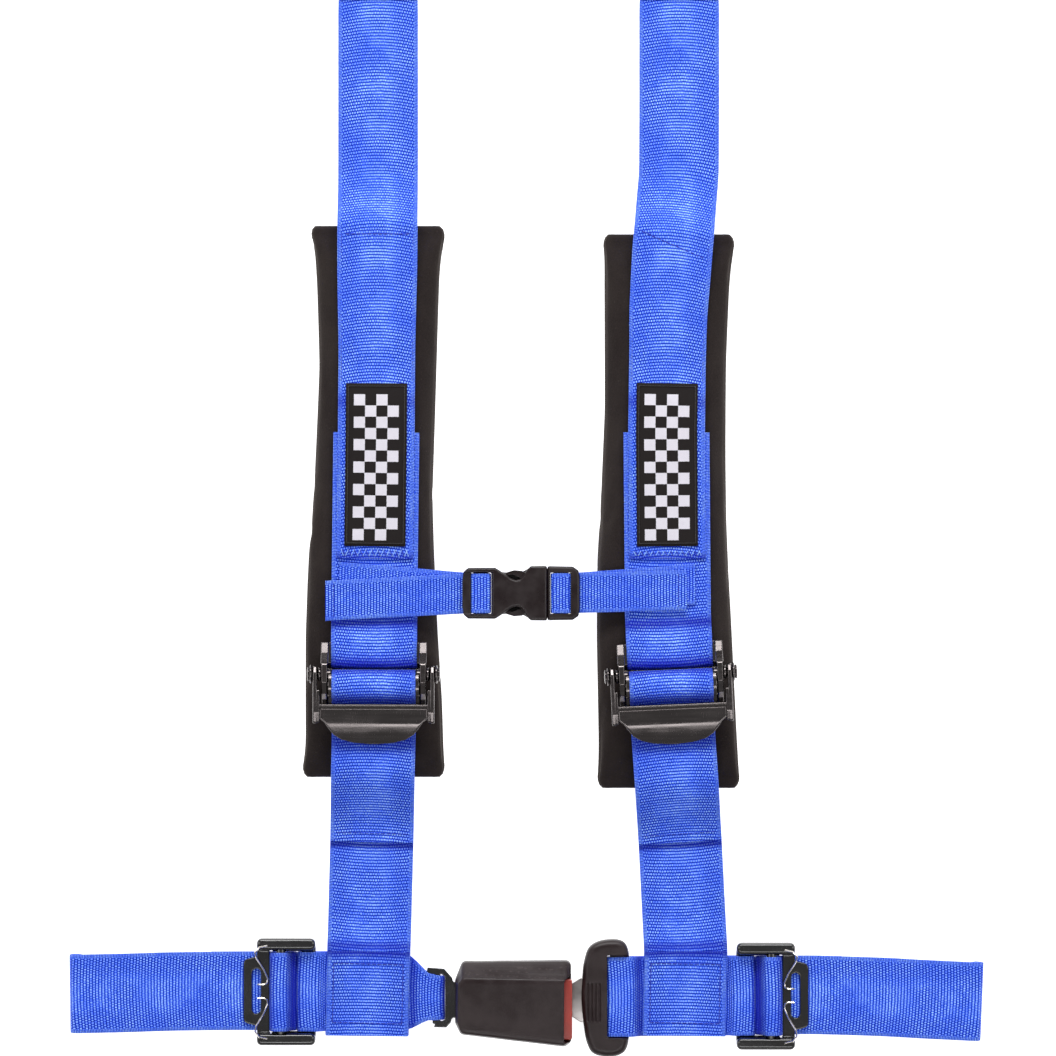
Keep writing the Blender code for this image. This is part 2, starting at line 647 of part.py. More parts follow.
def buckle_covers():
    lower = prism(HOUSING_PLAN, 0, COVER_SPLIT - GAP / 2)
    bottom = add_object("buckle_bottom_cover", lower, "black_plastic", HARNESS)
    cavity = prism(inset(HOUSING_PLAN, WALL), 2.4, 20)
    neck = prism(rectangle(-50, -30, BUCKLE_Y - 12, BUCKLE_Y + 12), 2.6, 6.2)
    mouth = prism(rectangle(10, 40, BUCKLE_Y - 11, BUCKLE_Y + 11), 5.6, 12)
    combine(bottom, [cavity, neck, mouth], "DIFFERENCE")
    low = COVER_SPLIT + GAP / 2
    walls = [at_height(HOUSING_PLAN, low), at_height(HOUSING_PLAN, 12.0)]
    high = loft([*walls, at_height(RIDGE_PLAN, HOUSING_HEIGHT)])
    top = add_object("buckle_top_cover", high, "black_plastic", HARNESS)
    levels = ((HOUSING_PLAN, 4.0), (HOUSING_PLAN, 12.0), (RIDGE_PLAN, HOUSING_HEIGHT - WALL))
    roof = [at_height(inset(plan, WALL), z) for plan, z in levels]
    doorway = prism(rectangle(18.6, 40, -29.6, 9.2), 4, 19.2)
    combine(top, [loft(roof), doorway], "DIFFERENCE")


def buckle_frame():
    """A pressed steel channel: webbing loop outside the housing, side walls and pawl bores inside it."""
    lift = BUCKLE_PLATE_LIFT
    half = 1.25
    y = BUCKLE_Y
    plan = [(-59.4, y + 15), (-53, y + 19.5), (-48.4, y + 15), (-46.0, y + 11.4), (-38, y + 11.4)]
    plan += [(-38, y - 11.4), (-46.0, y - 11.4), (-48.4, y - 13), (-53, y - 17.0), (-59.4, y - 15)]
    plate = prism(plan, lift - half, lift + half)
    frame = add_object("buckle_frame", plate, "black_steel", HARNESS)
    body = prism(rectangle(-39.4, 20, y - 15.6, y + 15.6), lift - half, lift + half)
    wall = [(-37.0, lift), (12, lift), (12, 9.2), (8.6, 9.2), (-8, 17), (-26, 17), (-37, 10)]
    walls = [prism(wall, y + k * 13.6, y + k * 15.6, "y") for k in (-1, 1)]
    combine(frame, [body, *walls], "UNION")
    slot = prism(rectangle(-54.4, -51.0, y - 13.4, y + 16.2), 0, 10)
    bore = prism(circle(PAWL_X, PAWL_Z, 1.8 + GAP, 12), y - 20, y + 20, "y")
    combine(frame, [slot, bore], "DIFFERENCE")


def mechanism():
    y = BUCKLE_Y
    pin = prism(circle(0, 0, 1.8, 12), -16.4, 16.4, "y")
    add_object("latch_pivot_pin", pin, "bare_steel", HARNESS, (PAWL_X, y, PAWL_Z))
    side_view = [(-5, -3), (20, -3), (20.5, -4.6), (24.6, -4.6), (25, 2.0)]
    side_view += [(16, 3.4), (4, 3.4), (-5, 3.2)]
    blank = prism(side_view, -6, 6, "y")
    pawl = add_object("latch_pawl", blank, "bare_steel", HARNESS, (PAWL_X, y, PAWL_Z))
    combine(pawl, [prism(circle(0, 0, 1.8 + GAP, 12), -12, 12, "y")], "DIFFERENCE")
    ejector = prism(rectangle(-24.0, -13.4, y - 7, y + 7), 5.9, 8.3)
    add_object("ejector", ejector, "black_plastic", HARNESS)
    coil("ejector_spring", (-38.4, y, 7.9), 13.8, 1.5, 0.35, 5, "bare_steel")
    button = prism(rounded(rectangle(13.4, 29.2, -29.2, 8.8), 1.2, 2), 9.6, 18.8)
    add_object("release_button", button, "red_plastic", HARNESS)
    coil("button_spring", (1.6, -23.4, 14.2), 11.4, 2.2, 0.45, 5, "bare_steel")


def tongue():
    """A steel blade with its latch window, held in a moulded grip that the lap webbing goes round."""
    y = BUCKLE_Y
    blade_plan = [(-12.6, y - 8.6), (-10.6, y - 10.3), (29, y - 10.3), (34.6, y - 14), (48, y - 14)]
    blade_plan += [(48, y + 14), (34.6, y + 14), (29, y + 10.3), (-10.6, y + 10.3), (-12.6, y + 8.6)]
    blade = add_object("tongue_plate", prism(blade_plan, 5.9, 8.3), "bare_steel", HARNESS)
    window = rounded(rectangle(0.5, 11.5, y - 6.5, y + 6.5), 1.5, 2)
    combine(blade, [prism(window, 0, 20)], "DIFFERENCE")
    plan = [(34.9, -3), (36.2, 14), (39.5, 27), (45, 32.6), (58, 33.6), (64.6, 29), (65.2, 14), (65.2, -20)]
    plan += [(64.6, -36), (58, -40.4), (46, -40.6), (40.5, -35), (36.6, -22)]
    rings = [at_height(plan, 1.2), at_height(plan, 10.6)]
    middle = Vector((51, -3.5))
    inner = [tuple(middle + (Vector(p) - middle) * 0.95) for p in plan]
    body = loft([at_height(inner, 0.0), *rings, at_height(inner, 12.0)])
    grip = add_object("tongue_grip", body, "black_plastic", HARNESS)
    pocket = prism(rectangle(30, 48.4, y - 14.4, y + 14.4), 5.6, 8.6)
    opening = prism(rectangle(GRIP_BAR_LEFT - 2.3, GRIP_BAR_LEFT, -30.4, 24.6), -5, 20)
    over = prism(rectangle(GRIP_BAR_LEFT - 1, 70, -30.4, 24.6), GRIP_BAR_TOP, 20)
    under = prism(rectangle(GRIP_BAR_LEFT - 1, 70, -30.4, 24.6), -5, LAYER)
    combine(grip, [pocket, opening, over, under], "DIFFERENCE")


# Chest strap and its side-release buckle

CLIP_LOW = 16.5
CLIP_HIGH = 27.5
CLIP_BAR_LOW = 20.8
CLIP_BAR_HIGH = 24.4
UNDER = CLIP_BAR_LOW - GAP - WEBBING / 2
OVER = UNDER + LAYER
SEAM_X = 13.3
PRONG_X = 12.4
PRONG_Y = 8.6
PRONG_ROOT = 0.8


def on_line(a, b, x):
    """The height at x on the line through two points."""
    return a[1] + (b[1] - a[1]) * (x - a[0]) / (b[0] - a[0])


def chest_strap(side, bar, edge, start, end):
    """From the pad, round the buckle's bar, which is (low x, high x), and back as the hemmed tail."""
    s = side.sign
    near, away = (bar[1], bar[0]) if s < 0 else (bar[0], bar[1])
    reach = GAP + WEBBING / 2
    turn = near - s * reach
    back = away + s * reach
    on_pad = PAD_LAYERS[2]
    top = CLIP_BAR_HIGH + reach + 0.1
    y = CHEST_BUCKLE_Y
    points = [(start[0], start[1], on_pad), (edge, on_line(start, (back, y), edge), on_pad)]
    points += [(back + s * 9, on_line(start, (back, y), back + s * 9), UNDER), (back, y, UNDER)]
    points += [(turn + s * 0.9, y, UNDER), (turn + s * 0.2, y, UNDER + 0.7), (turn, y, UNDER + 1.8)]
    points += [(turn, y, top - 1.4)]
    points += [(turn + s * 0.4, y, top - 0.4), (turn + s * 1.4, y, top), (back - s * 1.4, y, top)]
    points += [(back - s * 0.4, y, top - 0.4)]
    points += [(back, y, top - 1.7), (back + s * 0.4, y, OVER + 0.9), (back + s * 1.6, y, OVER)]
    points += [(back + s * 9, on_line(end, (back, y), back + s * 9), OVER)]
    points += [(edge, on_line(end, (back, y), edge), on_pad + LAYER), (end[0], end[1], on_pad + LAYER)]
    widths = [CHEST_WIDTH] * len(points)
    ribbon(f"{side.name}_chest_strap", points, [(0, 1, 0)] * len(points), widths)


def clip_outline():
    """The female half's upper edge, from its webbing end to its mouth, as (x, height) points."""
    angles = [math.radians(-14 + 16 * k) for k in range(6)]
    waist = [(-4.4 + 8.6 * math.sin(a), 16.6 - 9.0 * math.cos(a)) for a in angles]
    return [(-40.0, 13.5), (-37.5, 16.3), (-20.0, 16.4)] + waist + [(5.2, 17.2), (SEAM_X, 17.2)]


def chest_buckle():
    y = CHEST_BUCKLE_Y
    upper = clip_outline()
    plan = upper + [(u, -v) for u, v in reversed(upper)]
    body = prism(plan, CLIP_LOW, CLIP_HIGH)
    female = add_object("chest_buckle_female", body, "black_plastic", HARNESS, (0, y, 0))
    cuts = [prism(rectangle(-41.0, -21.0, CLIP_LOW - 1, CLIP_BAR_LOW), -20, 20, "y")]
    cuts += [prism(rectangle(-41.0, -21.0, CLIP_BAR_HIGH + 1.8, CLIP_HIGH + 1), -20, 20, "y")]
    cuts += [prism(rectangle(-35.9, -33.0, -13.3, 13.3), 0, 40)]
    cuts += [prism(rectangle(-24.0, -21.0, -13.3, 13.3), 0, 40)]
    cuts += [prism(rectangle(-33.5, -23.5, -13.3, 13.3), CLIP_BAR_HIGH, 40)]
    cuts += [prism(rectangle(-42.0, -35.5, -13.3, 13.3), 0, OVER + WEBBING / 2 + GAP)]
    cuts += [prism(rectangle(-14.5, 20.0, -15.0, 15.0), 18.9, 25.1)]
    combine(female, cuts, "DIFFERENCE")

    body = prism(rounded(rectangle(SEAM_X + GAP, 34.3, -16.5, 16.5), 2.5, 2), 19.2, 26.2)
    male = add_object("chest_buckle_male", body, "black_plastic", HARNESS, (0, y, 0))
    combine(male, [prism(rectangle(-4.0, SEAM_X + 1, -2.4, 2.4), 19.3, 24.7)], "UNION")
    cuts = [prism(rectangle(15.2, 17.5, -13.3, 13.3), 0, 40)]
    cuts += [prism(rectangle(26.5, 29.4, -13.3, 13.3), 0, 40)]
    cuts += [prism(rectangle(17.0, 27.0, -13.3, 13.3), CLIP_BAR_HIGH, 40)]
    cuts += [prism(rectangle(15.0, 28.0, -13.3, 13.3), 10, CLIP_BAR_LOW)]
    cuts += [prism(rectangle(29.0, 36.0, -13.3, 13.3), 0, OVER + WEBBING / 2 + GAP)]
    combine(male, cuts, "DIFFERENCE")

    arm = [(PRONG_ROOT, 1.4), (PRONG_ROOT, -1.4), (-6, -1.0), (-14, 0.2), (-21, 3.2), (-25.6, 2.2)]
    arm += [(-26.2, 3.0), (-24.6, 4.6), (-20, 6.0), (-15, 5.6), (-11.5, 3.6), (-6, 1.6)]
    for word, k in (("upper", 1), ("lower", -1)):
        mesh = prism([(u, k * v) for u, v in arm], 19.3, 24.7)
        add_object(f"chest_prong_{word}", mesh, "black_plastic", HARNESS, (PRONG_X, y + k * PRONG_Y, 0))


def make_side(side):
    shoulder_strap(side)
    bracket(f"{side.name}_shoulder_bracket", HARNESS, (side.x(BRACKET_Y), BRACKET_Y, BRACKET_LIFT), 0)
    pad(side)
    label(side)
    adjuster_webbing(side)
    adjuster_frame(side)
    adjuster_axle(side)
    adjuster_lever(side)
    lower_strap(side)
    junction_patch(side)
    lap_strap(side)
    lap_adjuster(side)


clear_scene()
HARNESS = bpy.data.objects.new("harness", None)
bpy.context.scene.collection.objects.link(HARNESS)
HARNESS.location = (0, LAP_LINE_Y * MM, 0)

for half in (LEFT, RIGHT):
    make_side(half)
left_buckle_webbing()
right_buckle_webbing()
buckle_covers()
buckle_frame()
mechanism()
tongue()
chest_strap(LEFT, (-33.0, -24.0), -67.0, (-118.0, 260.6), (-126.8, 248.6))
chest_strap(RIGHT, (17.5, 26.5), 60.0, (107.0, 259.0), (101.6, 255.4))
chest_buckle()
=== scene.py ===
"""Looks of the racing harness: webbing, pads, labels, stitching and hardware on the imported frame.

Lengths are in millimetres and are scaled by MM where a mesh is made. Points are measured from the
middle of the lap strap, at LAP_LINE_Y in the row frame: +X across the chest, +Y towards the
shoulders and +Z up from the table.
"""

import json
import math
from contextlib import contextmanager

import bmesh
import bpy
import numpy as np
from mathutils import Matrix, Vector, noise

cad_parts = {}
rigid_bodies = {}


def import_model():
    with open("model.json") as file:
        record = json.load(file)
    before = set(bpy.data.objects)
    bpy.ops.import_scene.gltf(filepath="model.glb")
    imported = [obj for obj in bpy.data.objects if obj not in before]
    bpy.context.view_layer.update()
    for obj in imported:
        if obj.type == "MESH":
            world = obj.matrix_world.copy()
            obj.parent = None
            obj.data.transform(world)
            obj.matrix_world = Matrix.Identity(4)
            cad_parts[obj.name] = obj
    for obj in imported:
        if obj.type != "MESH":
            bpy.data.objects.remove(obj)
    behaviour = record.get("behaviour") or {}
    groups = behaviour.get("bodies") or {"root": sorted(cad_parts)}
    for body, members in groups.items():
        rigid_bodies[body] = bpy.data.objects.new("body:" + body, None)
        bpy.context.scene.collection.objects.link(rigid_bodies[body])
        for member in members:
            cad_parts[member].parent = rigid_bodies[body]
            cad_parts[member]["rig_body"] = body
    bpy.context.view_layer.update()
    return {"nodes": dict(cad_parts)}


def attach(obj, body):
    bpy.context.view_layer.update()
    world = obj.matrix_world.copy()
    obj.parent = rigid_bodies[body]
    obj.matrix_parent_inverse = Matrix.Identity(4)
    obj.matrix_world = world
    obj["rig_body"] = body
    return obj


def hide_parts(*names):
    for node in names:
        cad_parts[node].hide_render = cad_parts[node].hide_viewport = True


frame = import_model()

MM = 0.001
LAP_LINE_Y = -347.2

# Webbing: its widths, its thickness in the frame and as shown, and its layers' heights
WEBBING_WIDTH = 50.8
LAP_WIDTH = 50.0
CHEST_WIDTH = 25.4
LABEL_WIDTH = 38.6
LOOP_WIDTH = 38.0
WEBBING = 1.6
GAP = 0.3
LAYER = WEBBING + GAP
THICK = 1.35
PAD_THICKNESS = 17.5
TABLE = [WEBBING / 2 + LAYER * k for k in range(5)]
ON_PAD = [PAD_THICKNESS + GAP + WEBBING / 2 + LAYER * k for k in range(5)]

# Weave: the pitch of its ribs and of the floats along them
RIB = 1.95
DOT = 1.62
CHEST_RIB = 1.9
CHEST_DOT = 1.4

# Shoulder adjusters: the plate, and the oval cam on its axle
PLATE = 2.0
ADJUSTER_BASE = ON_PAD[0] + WEBBING / 2 + GAP
ADJUSTER_TOP = ADJUSTER_BASE + PLATE + GAP + WEBBING / 2
CROSSBAR_EDGE = 6.6
CAM_A = 7.7
CAM_B = 5.0
CAM_BACK = 6.6
CAM_LIFT = ADJUSTER_TOP + CAM_B + GAP + WEBBING / 2

# Brackets, and where the straps end
HALF_SPAN = 289.6
BRACKET_Y = 681.0
BRACKET_U = 262.0
BRACKET_LIFT = 4.3
BRACKET_LOOP = 3.5
STRAP_END = BRACKET_Y - 49.6
HEM_Y = 95.0

# Lap adjusters: distances from the middle of the harness, and the sliding bar
INNER_BAR = 142.5
BAR_U = 155.6
BAR_RADIUS = 3.0
BAR_LIFT = 9.9
BAR_TRAVEL = 2.0
LAP_BASE = 3.8

# Lap buckle and the tongue's grip
BUCKLE_Y = -5.0
BUCKLE_BAR = 54.5
BUCKLE_LOOP = 2.35
BUCKLE_PLATE_LIFT = 4.3
GRIP_BAR_TOP = 7.4
GRIP_BAR_LEFT = 53.3

# Chest clip: its bars, and the strap's layers under and over them
CHEST_Y = 253.4
CLIP_BAR_LOW = 20.8
CLIP_BAR_HIGH = 24.4
UNDER = CLIP_BAR_LOW - GAP - WEBBING / 2
OVER = UNDER + LAYER


def world(point):
    """A point in millimetres from the lap line, as metres in the row frame."""
    return (point[0] * MM, (point[1] + LAP_LINE_Y) * MM, point[2] * MM)


# Curves and lines


def smooth_step(low, high, x):
    t = min(max((x - low) / (high - low), 0.0), 1.0)
    return t * t * (3 - 2 * t)


def distances(places):
    """How far along a line of points each one is."""
    return np.concatenate([[0], np.cumsum(np.linalg.norm(np.diff(places, axis=0), axis=1))])


def sampled(at, reach, rows):
    """The rows at each distance in at, from where each row is along the line."""
    return np.stack([np.interp(at, reach, column) for column in rows.T], axis=1)


def unit(rows):
    return rows / np.linalg.norm(rows, axis=1)[:, None]


def catmull(points, closed=False, per_mm=4.0):
    """(places, parameters) along a centripetal Catmull-Rom curve through the points."""
    points = np.asarray(points, float)
    if closed:
        ring = np.vstack([points[-1], points, points[0], points[1]])
    else:
        ring = np.vstack([2 * points[0] - points[1], points, 2 * points[-1] - points[-2]])
    knots = np.concatenate([[0], np.cumsum(np.linalg.norm(np.diff(ring, axis=0), axis=1) ** 0.5)])
    places, params = [], []
    for i in range(1, len(ring) - 2):
        t0, t1, t2, t3 = knots[i - 1 : i + 3]
        p0, p1, p2, p3 = ring[i - 1 : i + 3]
        count = max(3, int(np.linalg.norm(p2 - p1) * per_mm))
        share = np.linspace(0, 1, count, endpoint=False)
        t = (t1 + (t2 - t1) * share)[:, None]
        a1 = (t1 - t) / (t1 - t0) * p0 + (t - t0) / (t1 - t0) * p1
        a2 = (t2 - t) / (t2 - t1) * p1 + (t - t1) / (t2 - t1) * p2
        a3 = (t3 - t) / (t3 - t2) * p2 + (t - t2) / (t3 - t2) * p3
        b1 = (t2 - t) / (t2 - t0) * a1 + (t - t0) / (t2 - t0) * a2
        b2 = (t3 - t) / (t3 - t1) * a2 + (t - t1) / (t3 - t1) * a3
        places.append((t2 - t) / (t2 - t1) * b1 + (t - t1) / (t2 - t1) * b2)
        params.append(i - 1 + share)
    places.append(ring[-2][None, :])
    params.append([len(ring) - 3])
    return np.vstack(places), np.concatenate(params)


def rule_of(points, soften=6.0):
    """A rule of one number through (position, value) points, with its corners eased."""
    points = sorted(points)
    xs = np.array([p[0] for p in points], float)
    ys = np.array([p[1] for p in points], float)

    def value(x):
        near = [x - soften, x - soften / 2, x, x + soften / 2, x + soften]
        return float(np.interp(near, xs, ys) @ (0.1, 0.2, 0.4, 0.2, 0.1))

    return value


def circle(radius, turns, centre=(0, 0)):
    """Points on a circle at each turn, in radians."""
    return [(centre[0] + radius * math.cos(t), centre[1] + radius * math.sin(t)) for t in turns]


def arc(centre, radius, start_deg, end_deg, steps=6):
    turns = [math.radians(start_deg + (end_deg - start_deg) * k / steps) for k in range(steps + 1)]
    return circle(radius, turns, centre)


def whole_turn(steps):
    return [2 * math.pi * k / steps for k in range(steps)]


def offset(profile, distance):
    """The profile moved sideways by distance, to the left of its own direction."""
    moved = []
    for i, point in enumerate(profile):
        before = Vector(profile[max(i - 1, 0)])
        after = Vector(profile[min(i + 1, len(profile) - 1)])
        along = (after - before).normalized()
        moved.append((point[0] - along.y * distance, point[1] + along.x * distance))
    return moved


def filled(profile, reach=9.0):
    """The profile with points added, so that none are further apart than reach."""
    made = [profile[0]]
    for a, b in zip(profile, profile[1:]):
        count = max(1, math.ceil(math.dist(a, b) / reach))
        made += [tuple(p + (q - p) * k / count for p, q in zip(a, b)) for k in range(1, count + 1)]
    return made


def value_of(rule, at):
    """A rule's value at a place, or the number that stands in for a rule."""
    return rule(at) if callable(rule) else rule


class Side:
    """One half of the harness: where its straps, pad and hardware lie."""

    def __init__(self, name, sign, body, column, pad, adjuster, lap):
        self.name = name
        self.sign = sign
        self.body = body
        self.x = rule_of(column)
        self.pad = pad
        self.adjuster = adjuster
        self.lap_y = rule_of(lap)
        self.turn = math.atan2(-self.slope(self.x, adjuster[1]), 1)
        self.lines = {}

    @staticmethod
    def slope(rule, at, reach=4.0):
        return (rule(at + reach) - rule(at - reach)) / (2 * reach)

    def across(self, y):
        return (1, -self.slope(self.x, y), 0)

    def lap_across(self, x):
        return (-self.slope(self.lap_y, x), 1, 0)

    def column_rows(self, profile, width):
        """Rows of point, across and width for a strap up the shoulder column, from (y, z) points."""
        return [(self.x(y), y, z, *self.across(y), value_of(width, y)) for y, z in filled(profile)]

    def lap_rows(self, profile, width, y_of=None):
        """The same for a strap along the lap, from (distance from the middle, z) points."""
        rows = []
        for u, z in filled(profile):
            x = self.sign * u
            rows.append((x, (y_of or self.lap_y)(x), z, *self.lap_across(x), value_of(width, u)))
        return rows


LEFT = Side(
    "left",
    -1,
    "root",
    [(745, -94.0), (560, -94.0), (480, -94.0), (356, -94.6), (240, -96.0), (165, -96.2), (95, -98.0)]
    + [(26, -99.8), (-28, -101.0)],
    {"low": 137.0, "high": 486.0},
    (-96.1, 202.3),
    [(-295, -1.0), (-289.6, -1.0), (-231.0, 0.3), (-182.0, 0.6), (-60.0, 0.3), (-40, 0.3)],
)
RIGHT = Side(
    "right",
    1,
    "right_half",
    [(745, 97.4), (560, 97.4), (520, 97.2), (470, 92.6), (430, 90.0), (356, 88.8), (240, 89.7)]
    + [(165, 93.0), (95, 98.0), (26, 101.5), (-28, 100.4)],
    {"low": 130.0, "high": 481.0},
    (91.36, 202.3),
    [(40, -3.0), (50.0, -3.0), (130.0, -2.4), (182.0, -2.0), (231.0, -3.2), (289.6, -6.0), (295, -6.2)],
)


# Materials


class Graph:
    """A Principled material and short names for the nodes that feed it."""

    def __init__(self, name, colour=(0.5, 0.5, 0.5), roughness=0.5, metallic=0.0, **sockets):
        self.material = bpy.data.materials.new(name)
        self.material.use_nodes = True
        self.tree = self.material.node_tree
        self.shader = self.tree.nodes["Principled BSDF"]
        self.put("Base Color", (*colour, 1.0))
        self.put("Roughness", roughness)
        self.put("Metallic", metallic)
        for key, value in sockets.items():
            self.put(key.replace("_", " "), value)

    def put(self, socket, value):
        self.feed(self.shader.inputs[socket], value)

    def feed(self, socket, value):
        if isinstance(value, bpy.types.NodeSocket):
            self.tree.links.new(value, socket)
        else:
            socket.default_value = value

    def node(self, kind, **settings):
        made = self.tree.nodes.new(kind)
        for key, value in settings.items():
            setattr(made, key, value)
        return made

    def math(self, operation, *values, clamp=False):
        made = self.node("ShaderNodeMath", operation=operation, use_clamp=clamp)
        for socket, value in zip(made.inputs, values):
            self.feed(socket, value)
        return made.outputs[0]

    def times(self, a, b):
        return self.math("MULTIPLY", a, b)

    def plus(self, a, b):
        return self.math("ADD", a, b)

    def minus(self, a, b):
        return self.math("SUBTRACT", a, b)

    def arches(self, value, pitch):
        """A row of round arches from 0 to 1, one in each pitch."""
        return self.math("ABSOLUTE", self.math("SINE", self.times(value, math.pi / pitch)))

    def raised(self, low, high):
        """1 on the piece's raised edges and 0 away from them."""
        return self.span(self.node("ShaderNodeNewGeometry").outputs["Pointiness"], low, high)

    def map(self, name):
        """(across, along) of a named UV map, in metres."""
        made = self.node("ShaderNodeUVMap", uv_map=name)
        split = self.node("ShaderNodeSeparateXYZ")
        self.feed(split.inputs[0], made.outputs[0])
        return made.outputs[0], split.outputs[0], split.outputs[1]

    def place(self):
        """Position on the piece, in metres, which moves with it."""
        return self.node("ShaderNodeTexCoord").outputs["Object"]

    def scaled(self, vector, factors):
        made = self.node("ShaderNodeVectorMath", operation="MULTIPLY")
        self.feed(made.inputs[0], vector)
        made.inputs[1].default_value = factors
        return made.outputs[0]

    def noise(self, vector, scale, detail=2.0, roughness=0.5):
        made = self.node("ShaderNodeTexNoise")
        self.feed(made.inputs["Vector"], vector)
        made.inputs["Scale"].default_value = scale
        made.inputs["Detail"].default_value = detail
        made.inputs["Roughness"].default_value = roughness
        return made.outputs[0]

    def cells(self, vector, scale):
        made = self.node("ShaderNodeTexVoronoi")
        self.feed(made.inputs["Vector"], vector)
        made.inputs["Scale"].default_value = scale
        return made.outputs[0]

    def span(self, value, low, high, out_low=0.0, out_high=1.0):
        made = self.node("ShaderNodeMapRange", interpolation_type="SMOOTHSTEP")
        self.feed(made.inputs[0], value)
        for socket, number in zip(made.inputs[1:5], (low, high, out_low, out_high)):
            socket.default_value = number
        return made.outputs[0]

    def mix(self, factor, a, b):
        made = self.node("ShaderNodeMix", data_type="RGBA")
        self.feed(made.inputs[0], factor)
        for socket, colour in zip(made.inputs[6:8], (a, b)):
            self.feed(socket, colour if isinstance(colour, bpy.types.NodeSocket) else (*colour, 1.0))
        return made.outputs[2]

    def bump(self, height, distance, strength):
        made = self.node("ShaderNodeBump")
        made.inputs["Strength"].default_value = strength
        made.inputs["Distance"].default_value = distance
        self.feed(made.inputs["Height"], height)
        self.put("Normal", made.outputs[0])


def lighter(colour, factor, lift):
    return tuple(min(1.0, c * factor + lift) for c in colour)


# Webbing colours: painted shade for the gaps between floats, the dyed blue, a painted glint for the floats'
# tops, and painted shade for creases and under overlapping parts.
WEB_PAINTED_GAP_SHADE = (0.0015, 0.016, 0.3)
WEB_MIDDLE = (0.026, 0.105, 1.0)
WEB_PAINTED_GLINT = (0.46, 0.74, 1.0)
# Painted shade: the darker blue laid into creases and under parts that lie over the webbing.
WEB_PAINTED_SHADE = (0.002, 0.004, 0.36)


def webbing_material(name, rib, dot):
    """Staggered floats of a filament weave in crosswise ribs, with a finer selvedge at each edge. Its colour
    has painted shade between the floats, painted glints on them and painted shade at creases.
    """
    g = Graph(name, roughness=0.5, Sheen_Weight=0.04, Sheen_Roughness=0.4, Specular_IOR_Level=0.12)
    vector, u, v = g.map("weave")
    # The edge map also carries the depth of painted shade.
    _, edge, crease = g.map("edge")
    along = g.plus(v, g.times(g.minus(g.noise(vector, 260.0, 2.0), 0.5), 0.0007))
    row_at = g.math("DIVIDE", along, rib * MM)
    rise = g.math("SINE", g.times(g.math("FRACT", row_at), math.pi))
    stagger = g.times(g.math("MODULO", g.math("FLOOR", row_at), 2.0), 0.5)
    wander = g.times(g.minus(g.noise(vector, 420.0, 1.0), 0.5), 0.35)
    bead = g.arches(g.plus(g.plus(g.math("DIVIDE", u, dot * MM), stagger), wander), 1.0)
    run = g.times(g.span(edge, 0.008, 0.019), g.span(g.noise(vector, 55.0, 2.0), 0.38, 0.62, 0.25, 1.0))
    bead = g.plus(bead, g.times(g.times(run, 0.6), g.minus(1.0, bead)))
    dome = g.times(g.math("POWER", rise, 0.8), g.math("POWER", bead, 0.7))
    selvedge = g.times(g.arches(row_at, 0.5), g.span(g.arches(edge, 0.0009), 0, 1, 0.55, 1))
    inside = g.span(edge, 0.0021, 0.0029)
    pattern = g.plus(g.times(dome, inside), g.times(selvedge, g.minus(1.0, inside)))
    # Painted glints: a pale blue painted on the tops of the floats in place of real highlights, broken up by
    # noise. The same noise also varies the roughness.
    glint = g.noise(g.scaled(vector, (1.0, 0.35, 1.0)), 1500.0, 2.0)
    painted_glint = g.times(g.span(pattern, 0.5, 0.95), g.span(glint, 0.3, 0.66, 0.3, 1.0))
    painted_glint = g.times(painted_glint, g.span(g.noise(vector, 38.0, 3.0), 0.3, 0.72, 0.5, 1.0))
    # Painted shade in the gaps between floats, then painted glints on their tops.
    colour = g.mix(g.span(pattern, 0.1, 0.55), WEB_PAINTED_GAP_SHADE, WEB_MIDDLE)
    colour = g.mix(painted_glint, colour, WEB_PAINTED_GLINT)
    # Painted shade: the colour darkened in bands at creases and under overlapping parts.
    g.put("Base Color", g.mix(crease, colour, WEB_PAINTED_SHADE))
    g.put("Roughness", g.span(glint, 0.2, 0.8, 0.62, 0.42))
    fibres = g.noise(g.scaled(vector, (1.0, 0.2, 1.0)), 5200.0, 1.0)
    g.bump(g.plus(pattern, g.times(fibres, 0.25)), 0.00034, 0.9)
    return g.material


def thread_material(name, dark, bright):
    g = Graph(name, roughness=0.55, Sheen_Weight=0.1)
    twist = g.noise(g.place(), 2600.0, 2.0)
    g.put("Base Color", g.mix(g.span(twist, 0.3, 0.7), dark, bright))
    g.bump(twist, 0.0001, 0.6)
    return g.material


def pad_material(name):
    """Brushed knit over foam: nearly black brown, matte, with a soft nap and a little lint."""
    g = Graph(name, roughness=0.93, Sheen_Weight=0.18, Sheen_Roughness=0.55, Specular_IOR_Level=0.22)
    g.put("Sheen Tint", (0.55, 0.47, 0.42, 1.0))
    here = g.place()
    nap = g.noise(g.scaled(here, (1.0, 0.45, 1.0)), 2300.0, 3.0, 0.65)
    knit = g.cells(here, 1250.0)
    patches = g.noise(here, 32.0, 4.0, 0.6)
    lint = g.span(g.noise(here, 900.0, 2.0), 0.69, 0.78)
    colour = g.mix(g.span(nap, 0.25, 0.75), (0.008, 0.0052, 0.005), (0.019, 0.013, 0.0125))
    colour = g.mix(g.times(g.span(patches, 0.42, 0.72), 0.45), colour, (0.026, 0.0195, 0.017))
    colour = g.mix(g.times(lint, 0.35), colour, (0.09, 0.078, 0.07))
    g.put("Base Color", colour)
    g.bump(g.plus(g.times(nap, 0.7), g.times(knit, 0.5)), 0.00028, 0.8)
    return g.material


CHECK = 7.1
CHECK_HALF = 2 * CHECK
CHECK_LOW = CHECK
CHECK_HIGH = 14 * CHECK
CHECK_START = 10 * CHECK


